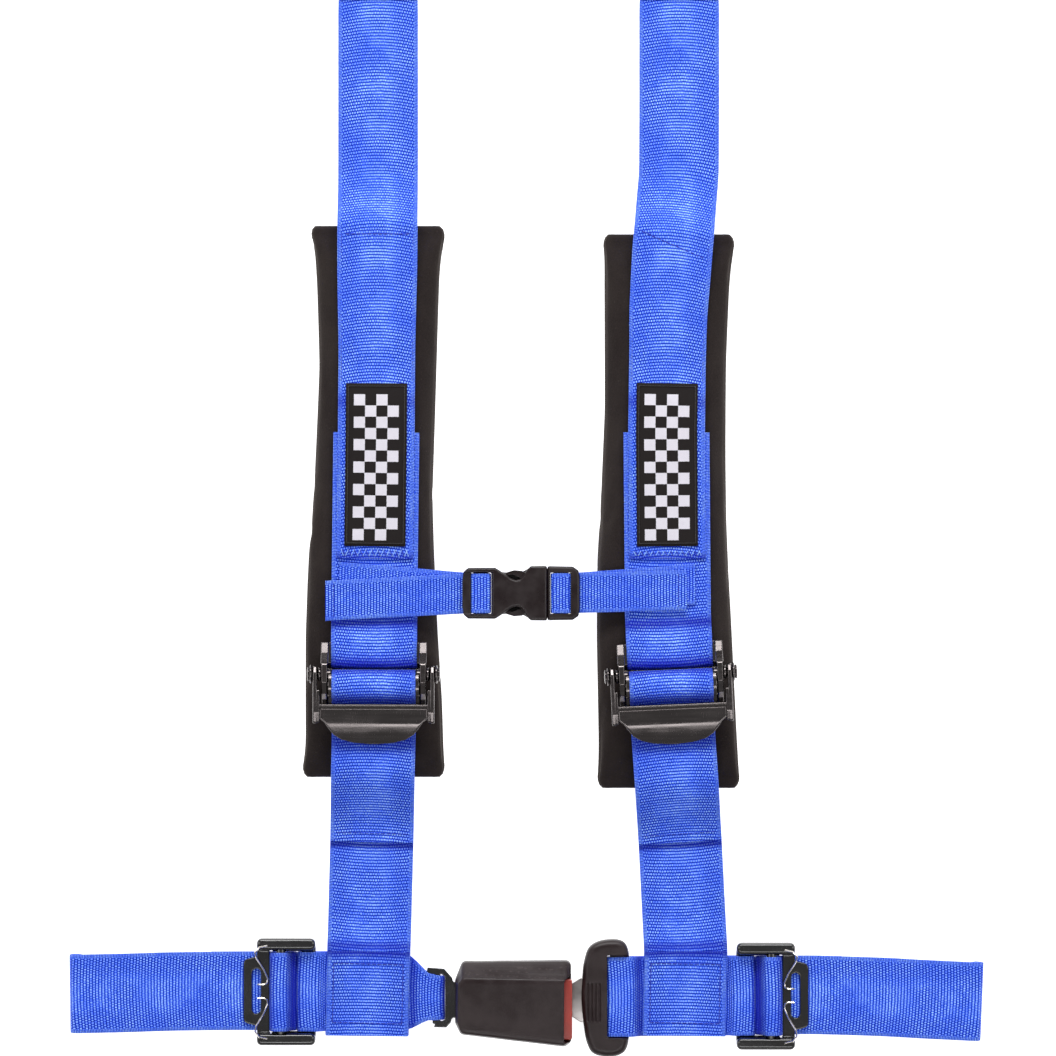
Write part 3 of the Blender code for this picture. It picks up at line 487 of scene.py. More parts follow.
def label_material(name):
    """A dense damask label, near black, with a plain chequered panel woven in pale yarn."""
    g = Graph(name, roughness=0.8, Sheen_Weight=0.02, Specular_IOR_Level=0.15)
    vector, u, v = g.map("weave")
    twill = g.arches(g.plus(u, g.times(v, 0.8)), 0.00055)
    weave = g.times(g.span(g.arches(v, 0.00042), 0, 1, 0.5, 1.0), g.span(twill, 0, 1, 0.45, 1.0))
    fray = g.times(g.minus(g.noise(vector, 1900.0, 1.0), 0.5), 0.0005)
    across, along = g.plus(u, fray), g.plus(v, fray)

    def check(place):
        count = g.math("FLOOR", g.math("DIVIDE", g.plus(place, CHECK_START * MM), CHECK * MM))
        return g.math("MODULO", count, 2.0)

    odd = g.math("ABSOLUTE", g.minus(check(across), check(along)))
    side = g.math("LESS_THAN", g.math("ABSOLUTE", across), CHECK_HALF * MM)
    low = g.math("GREATER_THAN", along, CHECK_LOW * MM)
    high = g.math("LESS_THAN", along, CHECK_HIGH * MM)
    pale = g.times(g.times(odd, side), g.times(low, high))
    dark = g.mix(weave, (0.006, 0.0045, 0.0045), (0.02, 0.016, 0.016))
    light = g.mix(weave, (0.48, 0.46, 0.52), (0.83, 0.8, 0.88))
    g.put("Base Color", g.mix(pale, dark, light))
    g.bump(g.plus(weave, g.times(pale, 0.8)), 0.0002, 0.7)
    return g.material


def metal_material(name, colour, roughness, grain=(1.0, 1.0, 1.0), grain_scale=900.0, wear=0.25, **more):
    """Plated or painted metal: grain in its roughness, faint scratches, and wear on raised edges."""
    g = Graph(name, colour, roughness, **more)
    here = g.place()
    streaks = g.noise(g.scaled(here, grain), grain_scale, 3.0, 0.6)
    smudge = g.noise(here, 60.0, 3.0)
    scratch = g.span(g.noise(g.scaled(here, (3.0, 0.12, 1.0)), 1400.0, 1.0), 0.7, 0.74)
    rubbed = g.times(g.raised(0.54, 0.62), g.span(smudge, 0.4, 0.6))
    base = g.mix(g.times(g.span(streaks, 0.3, 0.7), 0.3), colour, lighter(colour, 1.35, 0.004))
    g.put("Base Color", g.mix(g.times(rubbed, wear), base, lighter(colour, 3, 0.15)))
    rough = g.plus(g.span(streaks, 0.2, 0.8, roughness * 0.75, roughness * 1.3), g.times(scratch, 0.12))
    g.put("Roughness", g.plus(rough, g.span(smudge, 0.3, 0.7, -0.04, 0.06)))
    g.bump(g.plus(g.times(streaks, 0.4), g.times(scratch, -0.6)), 0.00001, 0.3)
    return g.material


def plastic_material(name, colour, roughness, grain, depth):
    """Moulded plastic with a fine spark-eroded grain, duller where it has been handled."""
    g = Graph(name, colour, roughness, Specular_IOR_Level=0.38)
    here = g.place()
    cloud = g.noise(here, 70.0, 4.0, 0.6)
    base = g.mix(g.times(g.span(cloud, 0.35, 0.7), 0.4), colour, lighter(colour, 1.7, 0.012))
    g.put("Base Color", g.mix(g.times(g.raised(0.53, 0.6), 0.35), base, lighter(colour, 2.6, 0.03)))
    g.put("Roughness", g.span(cloud, 0.3, 0.7, roughness - 0.06, roughness + 0.12))
    pits = g.plus(g.cells(here, grain), g.times(g.noise(here, grain * 2.2, 2.0), 0.5))
    g.bump(pits, depth, 0.6)
    return g.material


WEB = webbing_material("webbing_wide", RIB, DOT)
CHEST_WEB = webbing_material("webbing_narrow", CHEST_RIB, CHEST_DOT)
THREAD = thread_material("thread_blue", (0.003, 0.008, 0.26), (0.02, 0.06, 0.6))
PALE_THREAD = thread_material("thread_pale", (0.1, 0.25, 0.9), (0.45, 0.7, 1.0))
DARK_THREAD = thread_material("thread_black", (0.008, 0.007, 0.007), (0.03, 0.026, 0.024))
PAD = pad_material("pad_knit")
LABEL = label_material("label_damask")
GUNMETAL = metal_material(
    "black_chrome", (0.115, 0.103, 0.102), 0.19, (0.06, 1.0, 1.0), 500.0, 0.0, metallic=1.0
)
BLACK_STEEL = metal_material("black_enamel", (0.006, 0.0058, 0.006), 0.13, wear=0.04, Specular_IOR_Level=1.0)
STEEL = metal_material("zinc_steel", (0.33, 0.31, 0.305), 0.36, (0.25, 1.0, 1.0), 500.0, 0.03, metallic=1.0)
WIRE = metal_material("spring_wire", (0.78, 0.73, 0.68), 0.22, metallic=1.0, wear=0.1)
PLASTIC = plastic_material("moulded_black", (0.0135, 0.0062, 0.0068), 0.36, 1500.0, 0.00005)
GLOSSY = plastic_material("moulded_clip", (0.0115, 0.0065, 0.007), 0.3, 900.0, 0.00003)
RED = plastic_material("moulded_red", (0.31, 0.035, 0.025), 0.38, 1200.0, 0.00004)


# Making pieces


def link(name, mesh, material, body, nodes=()):
    obj = bpy.data.objects.new(name, mesh)
    bpy.context.scene.collection.objects.link(obj)
    obj.data.materials.clear()
    obj.data.materials.append(material)
    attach(obj, body)
    if nodes:
        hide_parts(*nodes)
    return obj


def mesh_of(name, points, faces, smooth=True):
    mesh = bpy.data.meshes.new(name)
    mesh.from_pydata([world(p) for p in points], [], faces)
    mesh.polygons.foreach_set("use_smooth", [smooth] * len(mesh.polygons))
    mesh.update()
    return mesh


@contextmanager
def editing(mesh):
    """A bmesh of the mesh, written back to it at the end."""
    body = bmesh.new()
    body.from_mesh(mesh)
    yield body
    body.to_mesh(mesh)
    body.free()


def tube_faces(count, width, closed=False):
    """The sides between rings of width points, and a cap at each end of an open tube."""
    faces = []
    for r in range(count if closed else count - 1):
        here, after = r * width, (r + 1) % count * width
        for k in range(width):
            n = (k + 1) % width
            faces.append([here + k, after + k, after + n, here + n])
    if not closed:
        faces += [list(range(width)), [(count - 1) * width + k for k in range(width - 1, -1, -1)]]
    return faces


class Line:
    """Evenly spaced stations down the middle of a strap: place, across, normal, width and distance."""

    def __init__(self, rows, step, closed=False):
        rows = np.asarray(rows, float)
        gaps = np.linalg.norm(np.diff(rows[:, :3], axis=0), axis=1)
        rows = rows[np.concatenate([[True], gaps > 0.05])]
        places, params = catmull(rows[:, :3], closed)
        reach = distances(places)
        self.length = reach[-1]
        count = max(4, round(self.length / step))
        self.at = np.linspace(0, self.length, count + 1)
        if closed:
            self.at = self.at[:-1]
            rows = np.vstack([rows, rows[:1]])
        param = np.interp(self.at, reach, params)
        index = np.arange(len(rows))
        self.place = sampled(self.at, reach, places)
        self.across = unit(sampled(param, index, rows[:, 3:6]))
        self.width = np.interp(param, index, rows[:, 6])
        if closed:
            along = np.roll(self.place, -1, axis=0) - np.roll(self.place, 1, axis=0)
        else:
            along = np.gradient(self.place, axis=0)
        self.normal = unit(np.cross(self.across, unit(along)))

    def top(self, axis, value):
        """The highest station whose place on an axis is the value."""
        off = np.abs(self.place[:, axis] - value)
        close = np.flatnonzero(off < off.min() + 0.8)
        return int(close[np.argmax(self.place[close, 2])])

    def up(self, i):
        """The normal at station i, on whichever side faces up."""
        return self.normal[i] if self.normal[i][2] >= 0 else -self.normal[i]

    def spot(self, i, u, lift):
        """The point above station i, u from its middle and lift over the upper face."""
        return self.place[i] + self.across[i] * u + self.up(i) * (THICK / 2 + 0.1 + lift)


EDGE_TURN = [90, 62, 32, 0, -32, -62, -90]
COLUMNS = 15


def strap_ring():
    """Round a strap's section: share of the flat half width, and the edge's sideways and upward parts."""
    inner = np.linspace(-1, 1, COLUMNS)[1:-1]
    edge = circle(1.0, [math.radians(a) for a in EDGE_TURN])
    ring = [(1.0, out, up) for out, up in edge]
    ring += [(share, 0.0, -1.0) for share in inner[::-1]]
    ring += [(-1.0, -out, -up) for out, up in edge]
    ring += [(share, 0.0, 1.0) for share in inner]
    return np.array(ring).T


def weave_maps(mesh, closed, u, v, scale, length, edge, shade):
    """Two maps: place in the weave, and distance from the edge with the depth of painted shade at creases
    and under overlapping parts.
    """
    count, width = u.shape
    i, j = np.meshgrid(np.arange(count if closed else count - 1), np.arange(width), indexing="ij")
    k, n = (i + 1) % count, (j + 1) % width

    def corners(grid, after=k):
        return np.stack([grid[i, j], grid[after, j], grid[after, n], grid[i, n]], axis=-1).ravel()

    v_on = np.concatenate([v, v[:1] + length]) if closed else v
    weave = np.stack([corners(u), corners(v_on, i + 1) * scale], axis=1)
    sides = np.stack([corners(edge), corners(shade) / MM], axis=1)
    if not closed:
        ends = [np.stack([u[0], v[0]], 1), np.stack([u[-1][::-1], v[-1][::-1]], 1)]
        weave = np.concatenate([weave, *ends])
        sides = np.concatenate([sides, np.zeros((2 * width, 2))])
    for name, values in (("weave", weave), ("edge", sides)):
        layer = mesh.uv_layers.new(name=name)
        layer.data.foreach_set("uv", (values * MM).astype(np.float32).ravel())


def strap(name, body, nodes, rows, held, rests, rib=RIB, material=WEB, thick=THICK, bow=1.2, closed=False,
          relief=0.11, slot="webbing", flat_width=WEBBING_WIDTH, step=None, creases=(), axis=1, crown=None):
    """Webbing down a line, with rounded edges and its crosswise ribs in the surface.

    The ribs bow forward by bow in the middle. Each painted shade band is a place on the axis, a reach and a
    depth of painted shade, which darkens the colour where a crease or a part lying over the strap would
    shade it. A crown gives how far the strap stands up along its middle, by place.
    """
    line = Line(rows, step or rib / 4, closed)
    radius = thick / 2
    flat, out, up = strap_ring()
    half = line.width[:, None] / 2
    u = flat * (half - radius) + out * radius
    hollow = 1 - (u / half) ** 2
    v = line.at[:, None] + bow * hollow
    pace = line.length / max(2, round(line.length / rib)) if closed else rib
    wave = 0.5 - 0.5 * np.cos(2 * math.pi * v / pace)
    rise = up * (radius + relief * wave * np.abs(up))
    if crown:
        lift = np.array([crown(y) for y in line.place[:, 1]])[:, None]
        rise = rise + lift * hollow * np.sign(line.normal[:, 2:3])
    middle, across, normal = (rows[:, None, :] for rows in (line.place, line.across, line.normal))
    points = middle + across * u[..., None] + normal * rise[..., None]
    mesh = mesh_of(name, points.reshape(-1, 3), tube_faces(*u.shape, closed))
    # Painted shade: how deep a darker colour goes, in bands across the strap at creases and under parts
    # lying over it.
    shade = np.zeros(u.shape)
    for place, reach, depth in creases:
        near = np.exp(-(((line.place[:, axis] - place) / reach) ** 2)) * (np.abs(line.normal[:, 2]) > 0.2)
        shade = np.maximum(shade, depth * near[:, None])
    weave_maps(mesh, closed, u, v, rib / pace, line.length, half - np.abs(u), shade)
    with editing(mesh) as shell:
        if shell.calc_volume(signed=True) < 0:
            bmesh.ops.reverse_faces(shell, faces=shell.faces)
    obj = link(name, mesh, material, body, nodes)
    return line


def side_strap(side, look, node, rows, held, rest, **more):
    """A strap of one half, whose piece, node and support are named without the side."""
    name, body = side.name, side.body
    return strap(f"{name}_{look}", body, [f"{name}_{node}"], rows, held, [f"{name}_{rest}"], **more)


STITCH_RINGS = 6
STITCH_SIDES = 6


def tube_rings(points, normals, radius):
    """Rings of points round a line, each in the plane square to it."""
    rings = []
    last = len(points) - 1
    for i, normal in enumerate(normals):
        along = points[min(i + 1, last)] - points[max(i - 1, 0)]
        side = np.cross(normal, along)
        side = side / max(np.linalg.norm(side), 1e-9)
        up = np.cross(along / max(np.linalg.norm(along), 1e-9), side)
        rings.append([points[i] + x * side + y * up for x, y in circle(radius, whole_turn(STITCH_SIDES))])
    return rings


def stitching(name, body, runs, material=THREAD, radius=0.36, length=2.5, gap=0.8, slot="webbing"):
    """Short humped stitches along runs of (point, normal), all in one piece."""
    points, faces = [], []
    hump = np.sin(np.linspace(0, math.pi, STITCH_RINGS)) * radius * 1.1 - radius * 0.7
    stitch = tube_faces(STITCH_RINGS, STITCH_SIDES)
    for run in runs:
        places, normals = (np.array(rows, float) for rows in zip(*run))
        reach = distances(places)
        count = max(1, int((reach[-1] + gap) / (length + gap)))
        pace = (reach[-1] + gap) / count
        for k in range(count):
            at = np.linspace(k * pace, k * pace + pace - gap, STITCH_RINGS)
            up = sampled(at, reach, normals)
            rings = tube_rings(sampled(at, reach, places) + up * hump[:, None], up, radius)
            faces += [[len(points) + spot for spot in reversed(face)] for face in stitch]
            points += [p for ring in rings for p in ring]
    return link(name, mesh_of(name, points, faces), material, body)


# Straps


def gathered(y):
    """The shoulder strap's width, which narrows into the bracket's loop."""
    return WEBBING_WIDTH - (WEBBING_WIDTH - LOOP_WIDTH) * smooth_step(BRACKET_Y - 55, BRACKET_Y - 12, y)


def shoulder_strap(side):
    top = side.pad["high"]
    on_pad = ON_PAD[0]
    on_webbing = ON_PAD[2]
    profile = [(STRAP_END, TABLE[1]), (BRACKET_Y - 22, TABLE[1]), (BRACKET_Y - 12, 5.0)]
    profile += [(BRACKET_Y - 5, BRACKET_LIFT + BRACKET_LOOP)]
    profile += arc((BRACKET_Y, BRACKET_LIFT), BRACKET_LOOP, 90, -90, 8)
    profile += [(BRACKET_Y - 8, TABLE[0]), (560, TABLE[0]), (top + 46, TABLE[0] + 0.2)]
    profile += [(top + 34, 2.0), (top + 24, 5.4), (top + 15, 10.4), (top + 8, 15.4), (top + 1, 18.9)]
    profile += [(top - 9, on_pad + 0.3), (top - 20, on_pad), (398, on_pad), (388, on_pad + 0.8)]
    profile += [(378, on_pad + 2.6), (368, on_webbing), (320, on_webbing), (275.2, on_webbing)]

    def width(y):
        return gathered(y) - 2.2 * smooth_step(470, 400, y) if y < 500 else gathered(y)

    # Painted shade where the strap climbs onto the lower webbing and at its sewn end.
    return side_strap(
        side, "shoulder_webbing", "shoulder_strap", side.column_rows(profile, width), "laid",
        "shoulder_pad_look", bow=3.4, creases=[(374, 5, 0.5), (276, 2.5, 0.6)],
        crown=lambda y: 1.5 * smooth_step(394, 420, y) * smooth_step(top - 4, top - 26, y),
    )


def adjuster_webbing(side):
    axle = side.adjuster[1]
    low, high = ON_PAD[:2]
    middle = (low + ADJUSTER_TOP) / 2
    radius = (ADJUSTER_TOP - low) / 2
    profile = [(355, low), (300, low), (axle + 30, low)]
    profile += arc((axle + CROSSBAR_EDGE - 0.35, middle), radius, -90, -270, 8)
    profile += [(axle + 21, ADJUSTER_TOP), (axle + 30, high + 0.6), (axle + 38, high), (300, high)]
    profile += [(355, high)]
    # Painted shade below the chest strap, where its shadow falls, and at the fold round the crossbar.
    side_strap(
        side, "adjuster_loop", "adjuster_webbing", side.column_rows(profile, 54.4), "folded",
        "shoulder_pad_look", bow=1.6, creases=[(234.5, 4, 0.75), (axle + 6, 4.5, 0.85)],
    )


def lower_strap(side):
    axle = side.adjuster[1]
    low = side.pad["low"]
    top = ADJUSTER_TOP
    cam_y = axle - CAM_BACK
    a = CAM_A + GAP + WEBBING / 2
    b = CAM_B + GAP + WEBBING / 2
    run = [(-27.5, TABLE[2]), (27, TABLE[2]), (36, 2.6), (46, TABLE[0]), (low - 43, TABLE[0])]
    run += [(low - 36, 1.2), (low - 28, 3.0), (low - 20, 6.6), (low - 12, 11.4), (low - 4, 16.0)]
    run += [(low + 4, 18.8), (low + 12, 19.4), (axle - 34, 20.2), (axle - 27, 21.6), (axle - 21, top)]
    run += [(cam_y, top)]
    turns = [math.radians(20 * k) for k in range(1, 15)]
    wrap = [(cam_y + a * math.sin(t), CAM_LIFT - b * math.cos(t)) for t in turns]
    back = offset(run[4:-2], LAYER)
    tail = [(axle - 18.6, CAM_LIFT - 3.0), (axle - 20.8, top + 2.3)]
    tail += [spot for spot in reversed(back) if spot[0] > HEM_Y + 3]
    tail += [(HEM_Y, TABLE[1] + (0.6 if side.sign > 0 else 0.3))]
    # Painted shade at the cam, just above the lever's plate, below its lip, below the tail's hem and above
    # the junction patch.
    creases = [(axle + 2, 2.5, 0.7), (axle - 16, 4, 0.7), (axle - 43, 7, 0.55)]
    creases += [(HEM_Y - 2, 2.5, 0.7), (29, 3, 0.6)]
    return side_strap(
        side, "lower_webbing", "lower_strap", side.column_rows(run + wrap + tail, 53.0), "folded",
        "shoulder_pad_look", bow=1.8, creases=creases,
    )


def junction_patch(side):
    height = TABLE[3]
    profile = [(25.8, height - 0.1), (20, height), (0, height), (-20, height), (-27.8, height)]
    # Painted shade along the patch's top end, under the strap that lies over it.
    return side_strap(
        side, "junction_webbing", "junction_patch", side.column_rows(profile, 52.1), "laid",
        "lower_webbing", bow=0.8, creases=[(26, 4.0, 0.85)],
    )


def lap_strap(side):
    """The lap strap from its bracket, round the outer fold and through the adjuster."""
    fold = (9.7 - TABLE[0]) / 2
    fold_u = HALF_SPAN - fold - WEBBING / 2
    profile = [(fold_u - 2, TABLE[1]), (BRACKET_U + 12, TABLE[1]), (BRACKET_U + 8, 4.6)]
    profile += [(BRACKET_U + 3.5, BRACKET_LIFT + BRACKET_LOOP)]
    profile += arc((BRACKET_U, BRACKET_LIFT), BRACKET_LOOP, 90, 270, 8)
    profile += [(BRACKET_U + 8, TABLE[0]), (fold_u - 4, TABLE[0])]
    hidden = len(filled(profile))
    profile += arc((fold_u, TABLE[0] + fold), fold, -90, 90, 8)
    profile += [(BRACKET_U - 4, 9.8), (BRACKET_U - 12, 9.3), (BRACKET_U - 26, 7.2), (BRACKET_U - 44, 4.4)]
    profile += [(BRACKET_U - 60, TABLE[1] + 0.2), (188, TABLE[1]), (163.3, TABLE[1]), (161.95, 2.95)]
    profile += [(161.7, 4.3), (161.7, 10.5), (160.9, 12.6), (158.6, 14.0), (154.8, 14.0), (152.4, 12.8)]
    profile += [(151.3, 10.6), (148.8, 6.4), (146.3, 4.2), (146.2, 2.2), (148.0, TABLE[0])]
    profile += [(157.4, TABLE[0]), (163, TABLE[0]), (200, TABLE[0])]
    rows = side.lap_rows(profile, LAP_WIDTH)
    for i in range(hidden):
        narrow = LOOP_WIDTH + (LAP_WIDTH - LOOP_WIDTH) * smooth_step(268, 284, abs(rows[i][0]))
        rows[i] = (*rows[i][:6], narrow)
    # Painted shade at the two ends of the adjuster's opening, where the strap turns in and out of it.
    side_strap(
        side, "lap_webbing", "lap_strap", rows, "folded", "lap_bracket_look",
        axis=0, creases=[(side.sign * 148.0, 3.6, 0.9), (side.sign * 163.5, 4.0, 0.8)],
    )


def round_inner_bar():
    """The lower layer from the junction, round the lap adjuster's inner bar and back over itself."""
    low = TABLE[0]
    middle = LAP_BASE + PLATE / 2
    reach = PLATE / 2 + GAP + WEBBING / 2
    profile = [(124, low), (132, low + 0.4), (138, middle - reach)]
    profile += arc((INNER_BAR, middle), reach, -90, 90, 6)
    return profile + [(133.0, middle + reach)]


def left_buckle_webbing():
    low, high = TABLE[:2]
    profile = round_inner_bar() + [(128.3, high + 0.05), (124, high), (100, high), (72.4, high)]
    profile += [(66, 4.8), (62, 6.3)]
    profile += arc((BUCKLE_BAR, BUCKLE_PLATE_LIFT), BUCKLE_LOOP, 90, 270, 8)
    profile += [(64, 1.6), (70, low + 0.2), (78, low), (100, low)]

    def width(u):
        return 28.0 + (WEBBING_WIDTH - 28.0) * smooth_step(58, 79, u)

    def y_of(x):
        return BUCKLE_Y + 1.4 + (0.3 - BUCKLE_Y - 1.4) * smooth_step(55, 80, -x)

    # Painted shade round the adjuster's inner bar, where the loop rises, and at the buckle frame's bar.
    side_strap(
        LEFT, "buckle_loop", "buckle_webbing", LEFT.lap_rows(profile, width, y_of), "folded",
        "lap_adjuster_frame_look", closed=True, flat_width=46.0,
        axis=0, creases=[(-145.5, 2.4, 0.8), (-71.5, 3.0, 0.6), (-52.4, 1.8, 0.8)],
    )


def right_buckle_webbing():
    low, high = TABLE[:2]
    top = GRIP_BAR_TOP + GAP + WEBBING / 2
    left = GRIP_BAR_LEFT - GAP - WEBBING / 2
    profile = round_inner_bar() + [(128.6, high + 0.05), (124, high), (100, high), (72.6, high)]
    profile += [(67.4, top - 0.8), (65.0, top), (59, top), (left + 1.4, top), (left + 0.35, top - 0.35)]
    profile += [(left, top - 1.4), (left, low + 1.4), (left + 0.35, low + 0.35), (left + 1.4, low)]
    profile += [(66, low), (78, low), (100, low)]
    # Painted shade round the adjuster's inner bar and where the loop rises into the grip.
    side_strap(
        RIGHT, "buckle_loop", "buckle_webbing", RIGHT.lap_rows(profile, WEBBING_WIDTH), "folded",
        "lap_adjuster_frame_look", closed=True,
        axis=0, creases=[(145.5, 2.4, 0.8), (71.5, 3.0, 0.6)],
    )


def chest_strap(side, bar, edge, start, end):
    """From the pad, under the clip's bar, round it and back. bar is x of its sides, edge x of the pad's."""
    s = side.sign
    near, away = bar[::s]
    reach = GAP + WEBBING / 2
    turn = near - s * reach
    back = away + s * reach
    step = back + s * 9
    top = CLIP_BAR_HIGH + reach + 0.1
    y = CHEST_Y

    def y_at(x, from_end):
        return from_end[1] + (y - from_end[1]) * (x - from_end[0]) / (back - from_end[0])

    points = [(*start, ON_PAD[2]), (edge, y_at(edge, start), ON_PAD[2])]
    points += [(step, y_at(step, start), UNDER), (back, y, UNDER)]
    points += [(turn + s * 0.9, y, UNDER), (turn + s * 0.2, y, UNDER + 0.7), (turn, y, UNDER + 1.8)]
    points += [(turn, y, top - 1.4), (turn + s * 0.4, y, top - 0.4), (turn + s * 1.4, y, top)]
    points += [(back - s * 1.4, y, top), (back - s * 0.4, y, top - 0.4), (back, y, top - 1.7)]
    points += [(back + s * 0.4, y, OVER + 0.9), (back + s * 1.6, y, OVER)]
    points += [(step, y_at(step, end), OVER)]
    points += [(edge, y_at(edge, end), ON_PAD[2] + LAYER), (*end, ON_PAD[2] + LAYER)]
    rows = [(*p, 0, 1, 0, CHEST_WIDTH) for p in filled(points)]
    return side_strap(
        side, "chest_webbing", "chest_strap", rows, "folded", "adjuster_loop", rib=CHEST_RIB,
        material=CHEST_WEB, thick=1.5, bow=0.3, relief=0.08, flat_width=CHEST_WIDTH,
    )


def label(side):
    lift = (WEBBING + 0.8) / 2 + GAP
    on_pad = ON_PAD[0] + lift + 0.5
    on_webbing = ON_PAD[2] + lift
    profile = [(386, on_pad + 1.0), (378, on_pad + 2.6), (368, on_webbing + 0.1), (350, on_webbing)]
    profile += [(283, on_webbing)]
    return side_strap(
        side, "label", "pad_label", side.column_rows(profile, LABEL_WIDTH), "laid", "shoulder_webbing",
        rib=1.0, material=LABEL, thick=0.8, bow=0.0, relief=0.0, slot="label_fabric",
        flat_width=LABEL_WIDTH, step=2.0,
    )


# Pads

PAD_ROWS = 72
PAD_COLUMNS = 20
PAD_PRESSURE = 4.0
PAD_STEPS = 20
PAD_SWELL = 2.4
HEM_REACH = 24.0
HEM_SEAM = 7.0
HEM_GROOVE = 0.9
LEFT_PAD = {
    "low": 136.6,
    "high": 486.3,
    "left": [(486, -136.6), (478, -134.4), (470, -132.6), (450, -131.4), (398, -130.4), (336, -133.6)]
    + [(283, -137.6), (225, -139.2), (160, -138.6), (148, -139.6), (137, -141.2)],
    "right": [(486, -52.4), (478, -52.8), (468, -55.0), (455, -56.0), (398, -57.2), (315, -59.0)]
    + [(283, -58.4), (225, -56.4), (188, -54.2), (150, -53.4), (137, -52.6)],
}
RIGHT_PAD = {
    "low": 129.6,
    "high": 481.0,
    "left": [(482, 49.6), (474, 50.4), (466, 51.0), (450, 50.8), (370, 50.4), (320, 47.6), (275, 45.2)]
    + [(225, 45.4), (160, 47.4), (142, 47.0), (130, 46.4)],
    "right": [(481, 131.6), (473, 131.0), (462, 129.0), (450, 127.8), (400, 126.4), (340, 126.6)]
    + [(275, 128.6), (225, 130.4), (170, 132.4), (145, 133.6), (130, 134.6)],
}


def bell(x, middle, reach):
    return math.exp(-(((x - middle) / reach) ** 2))


def pad_start(facts):
    """A flat-ended sleeve: thin, wide hems at both ends and a foam section between them."""
    left, right = rule_of(facts["left"]), rule_of(facts["right"])
    shares = [k / PAD_COLUMNS for k in range(PAD_COLUMNS + 1)]
    levels = [0.78, 0.4, 0.0, -0.4, -0.78]
    ring = [(share, 1.0) for share in shares]
    ring += [(1.0 + 0.018 * (1 - level**2), level) for level in levels]
    ring += [(share, -1.0) for share in reversed(shares)]
    ring += [(-0.018 * (1 - level**2), level) for level in reversed(levels)]
    span = facts["high"] - facts["low"]
    points = []
    for r in range(PAD_ROWS + 1):
        y = facts["low"] + span * r / PAD_ROWS
        edge = min(r, PAD_ROWS - r) * span / PAD_ROWS
        full = smooth_step(-6.0, HEM_REACH, edge)
        half = 2.0 + (PAD_THICKNESS / 2 - 3.3) * full
        middle = half + 0.3 + (PAD_THICKNESS / 2 - half - 1.2) * (1 - full) * 0.35
        narrow = 0.5 * full + 3.4 * max(0.0, 1.0 - edge / HEM_SEAM) ** 2
        x0, x1 = left(y) + narrow, right(y) - narrow
        for share, level in ring:
            round_off = 1.0 - 0.34 * (abs(2 * share - 1) ** 9) * full
            points.append((x0 + (x1 - x0) * share, y, middle + half * level * round_off))
    return points, len(ring)


def puff(mesh, held):
    """Swells a pad under pressure, with its hems held, and lets no point move further than PAD_SWELL."""
    obj = bpy.data.objects.new("swelling", mesh)
    scene = bpy.context.scene
    scene.collection.objects.link(obj)
    obj.vertex_groups.new(name="hems").add(held, 1.0, "REPLACE")
    cloth = obj.modifiers.new("Cloth", "CLOTH")
    cloth.settings.use_pressure = True
    cloth.settings.uniform_pressure_force = PAD_PRESSURE
    cloth.settings.effector_weights.gravity = 0.0
    cloth.settings.vertex_group_mass = "hems"
    cloth.settings.quality = 6
    cloth.point_cache.frame_start = 1
    cloth.point_cache.frame_end = PAD_STEPS
    for step in range(1, PAD_STEPS + 1):
        scene.frame_set(step)
    swollen = obj.evaluated_get(bpy.context.evaluated_depsgraph_get()).to_mesh()
    before = np.array([v.co for v in mesh.vertices])
    move = np.array([v.co for v in swollen.vertices]) - before
    scene.frame_set(1)
    obj.vertex_groups.clear()
    bpy.data.objects.remove(obj)
    size = np.linalg.norm(move, axis=1)[:, None]
    move = move * np.minimum(1.0, PAD_SWELL * MM / np.maximum(size, 1e-9))
    mesh.vertices.foreach_set("co", (before + move).astype(np.float32).ravel())


def wrinkled(side, facts, x, y, z):
    """The height of a pad's point with its wrinkles, and the puckers and groove at its hem seams."""
    top = smooth_step(5.0, 12.0, z)
    from_end = min(y - facts["low"], facts["high"] - y)
    wrinkle = noise.noise(Vector((x * 0.05, y * 0.022, z * 0.05 + side.sign * 9))) * 0.9
    wrinkle += noise.noise(Vector((x * 0.16, y * 0.05, 3.0 + side.sign * 4))) * 0.5
    z += wrinkle * (0.35 + 0.65 * top) * smooth_step(2, 30, from_end)
    pucker = math.sin(x * 0.42 + 2.0 * noise.noise(Vector((x * 0.1, 0.3, side.sign)))) * 0.45
    z += pucker * bell(from_end, HEM_SEAM + 4, 8.0) * top
    z -= HEM_GROOVE * bell(from_end, HEM_SEAM, 1.3) * top
    return min(max(z, 0.05), PAD_THICKNESS + 0.15)


def pad(side, facts):
    name = f"{side.name}_shoulder_pad_look"
    points, width = pad_start(facts)
    mesh = mesh_of(name, points, tube_faces(PAD_ROWS + 1, width))
    with editing(mesh) as shell:
        bmesh.ops.recalc_face_normals(shell, faces=shell.faces)
    puff(mesh, [*range(width * 2), *range(width * (PAD_ROWS - 1), width * (PAD_ROWS + 1))])
    with editing(mesh) as shell:
        bmesh.ops.subdivide_edges(shell, edges=shell.edges, cuts=1, smooth=0.6, use_grid_fill=True)
        for v in shell.verts:
            v.co.z = MM * wrinkled(side, facts, v.co.x / MM, v.co.y / MM - LAP_LINE_Y, v.co.z / MM)
        bmesh.ops.recalc_face_normals(shell, faces=shell.faces)
    mesh.polygons.foreach_set("use_smooth", [True] * len(mesh.polygons))
    obj = link(name, mesh, PAD, side.body, [f"{side.name}_shoulder_pad"])


def make_side(side, facts):
    """One half's soft pieces. The lines are kept for its stitching."""
    pad(side, facts)
    side.lines["shoulder"] = shoulder_strap(side)
    adjuster_webbing(side)
    side.lines["lower"] = lower_strap(side)
    side.lines["junction"] = junction_patch(side)
    lap_strap(side)
    side.lines["label"] = label(side)


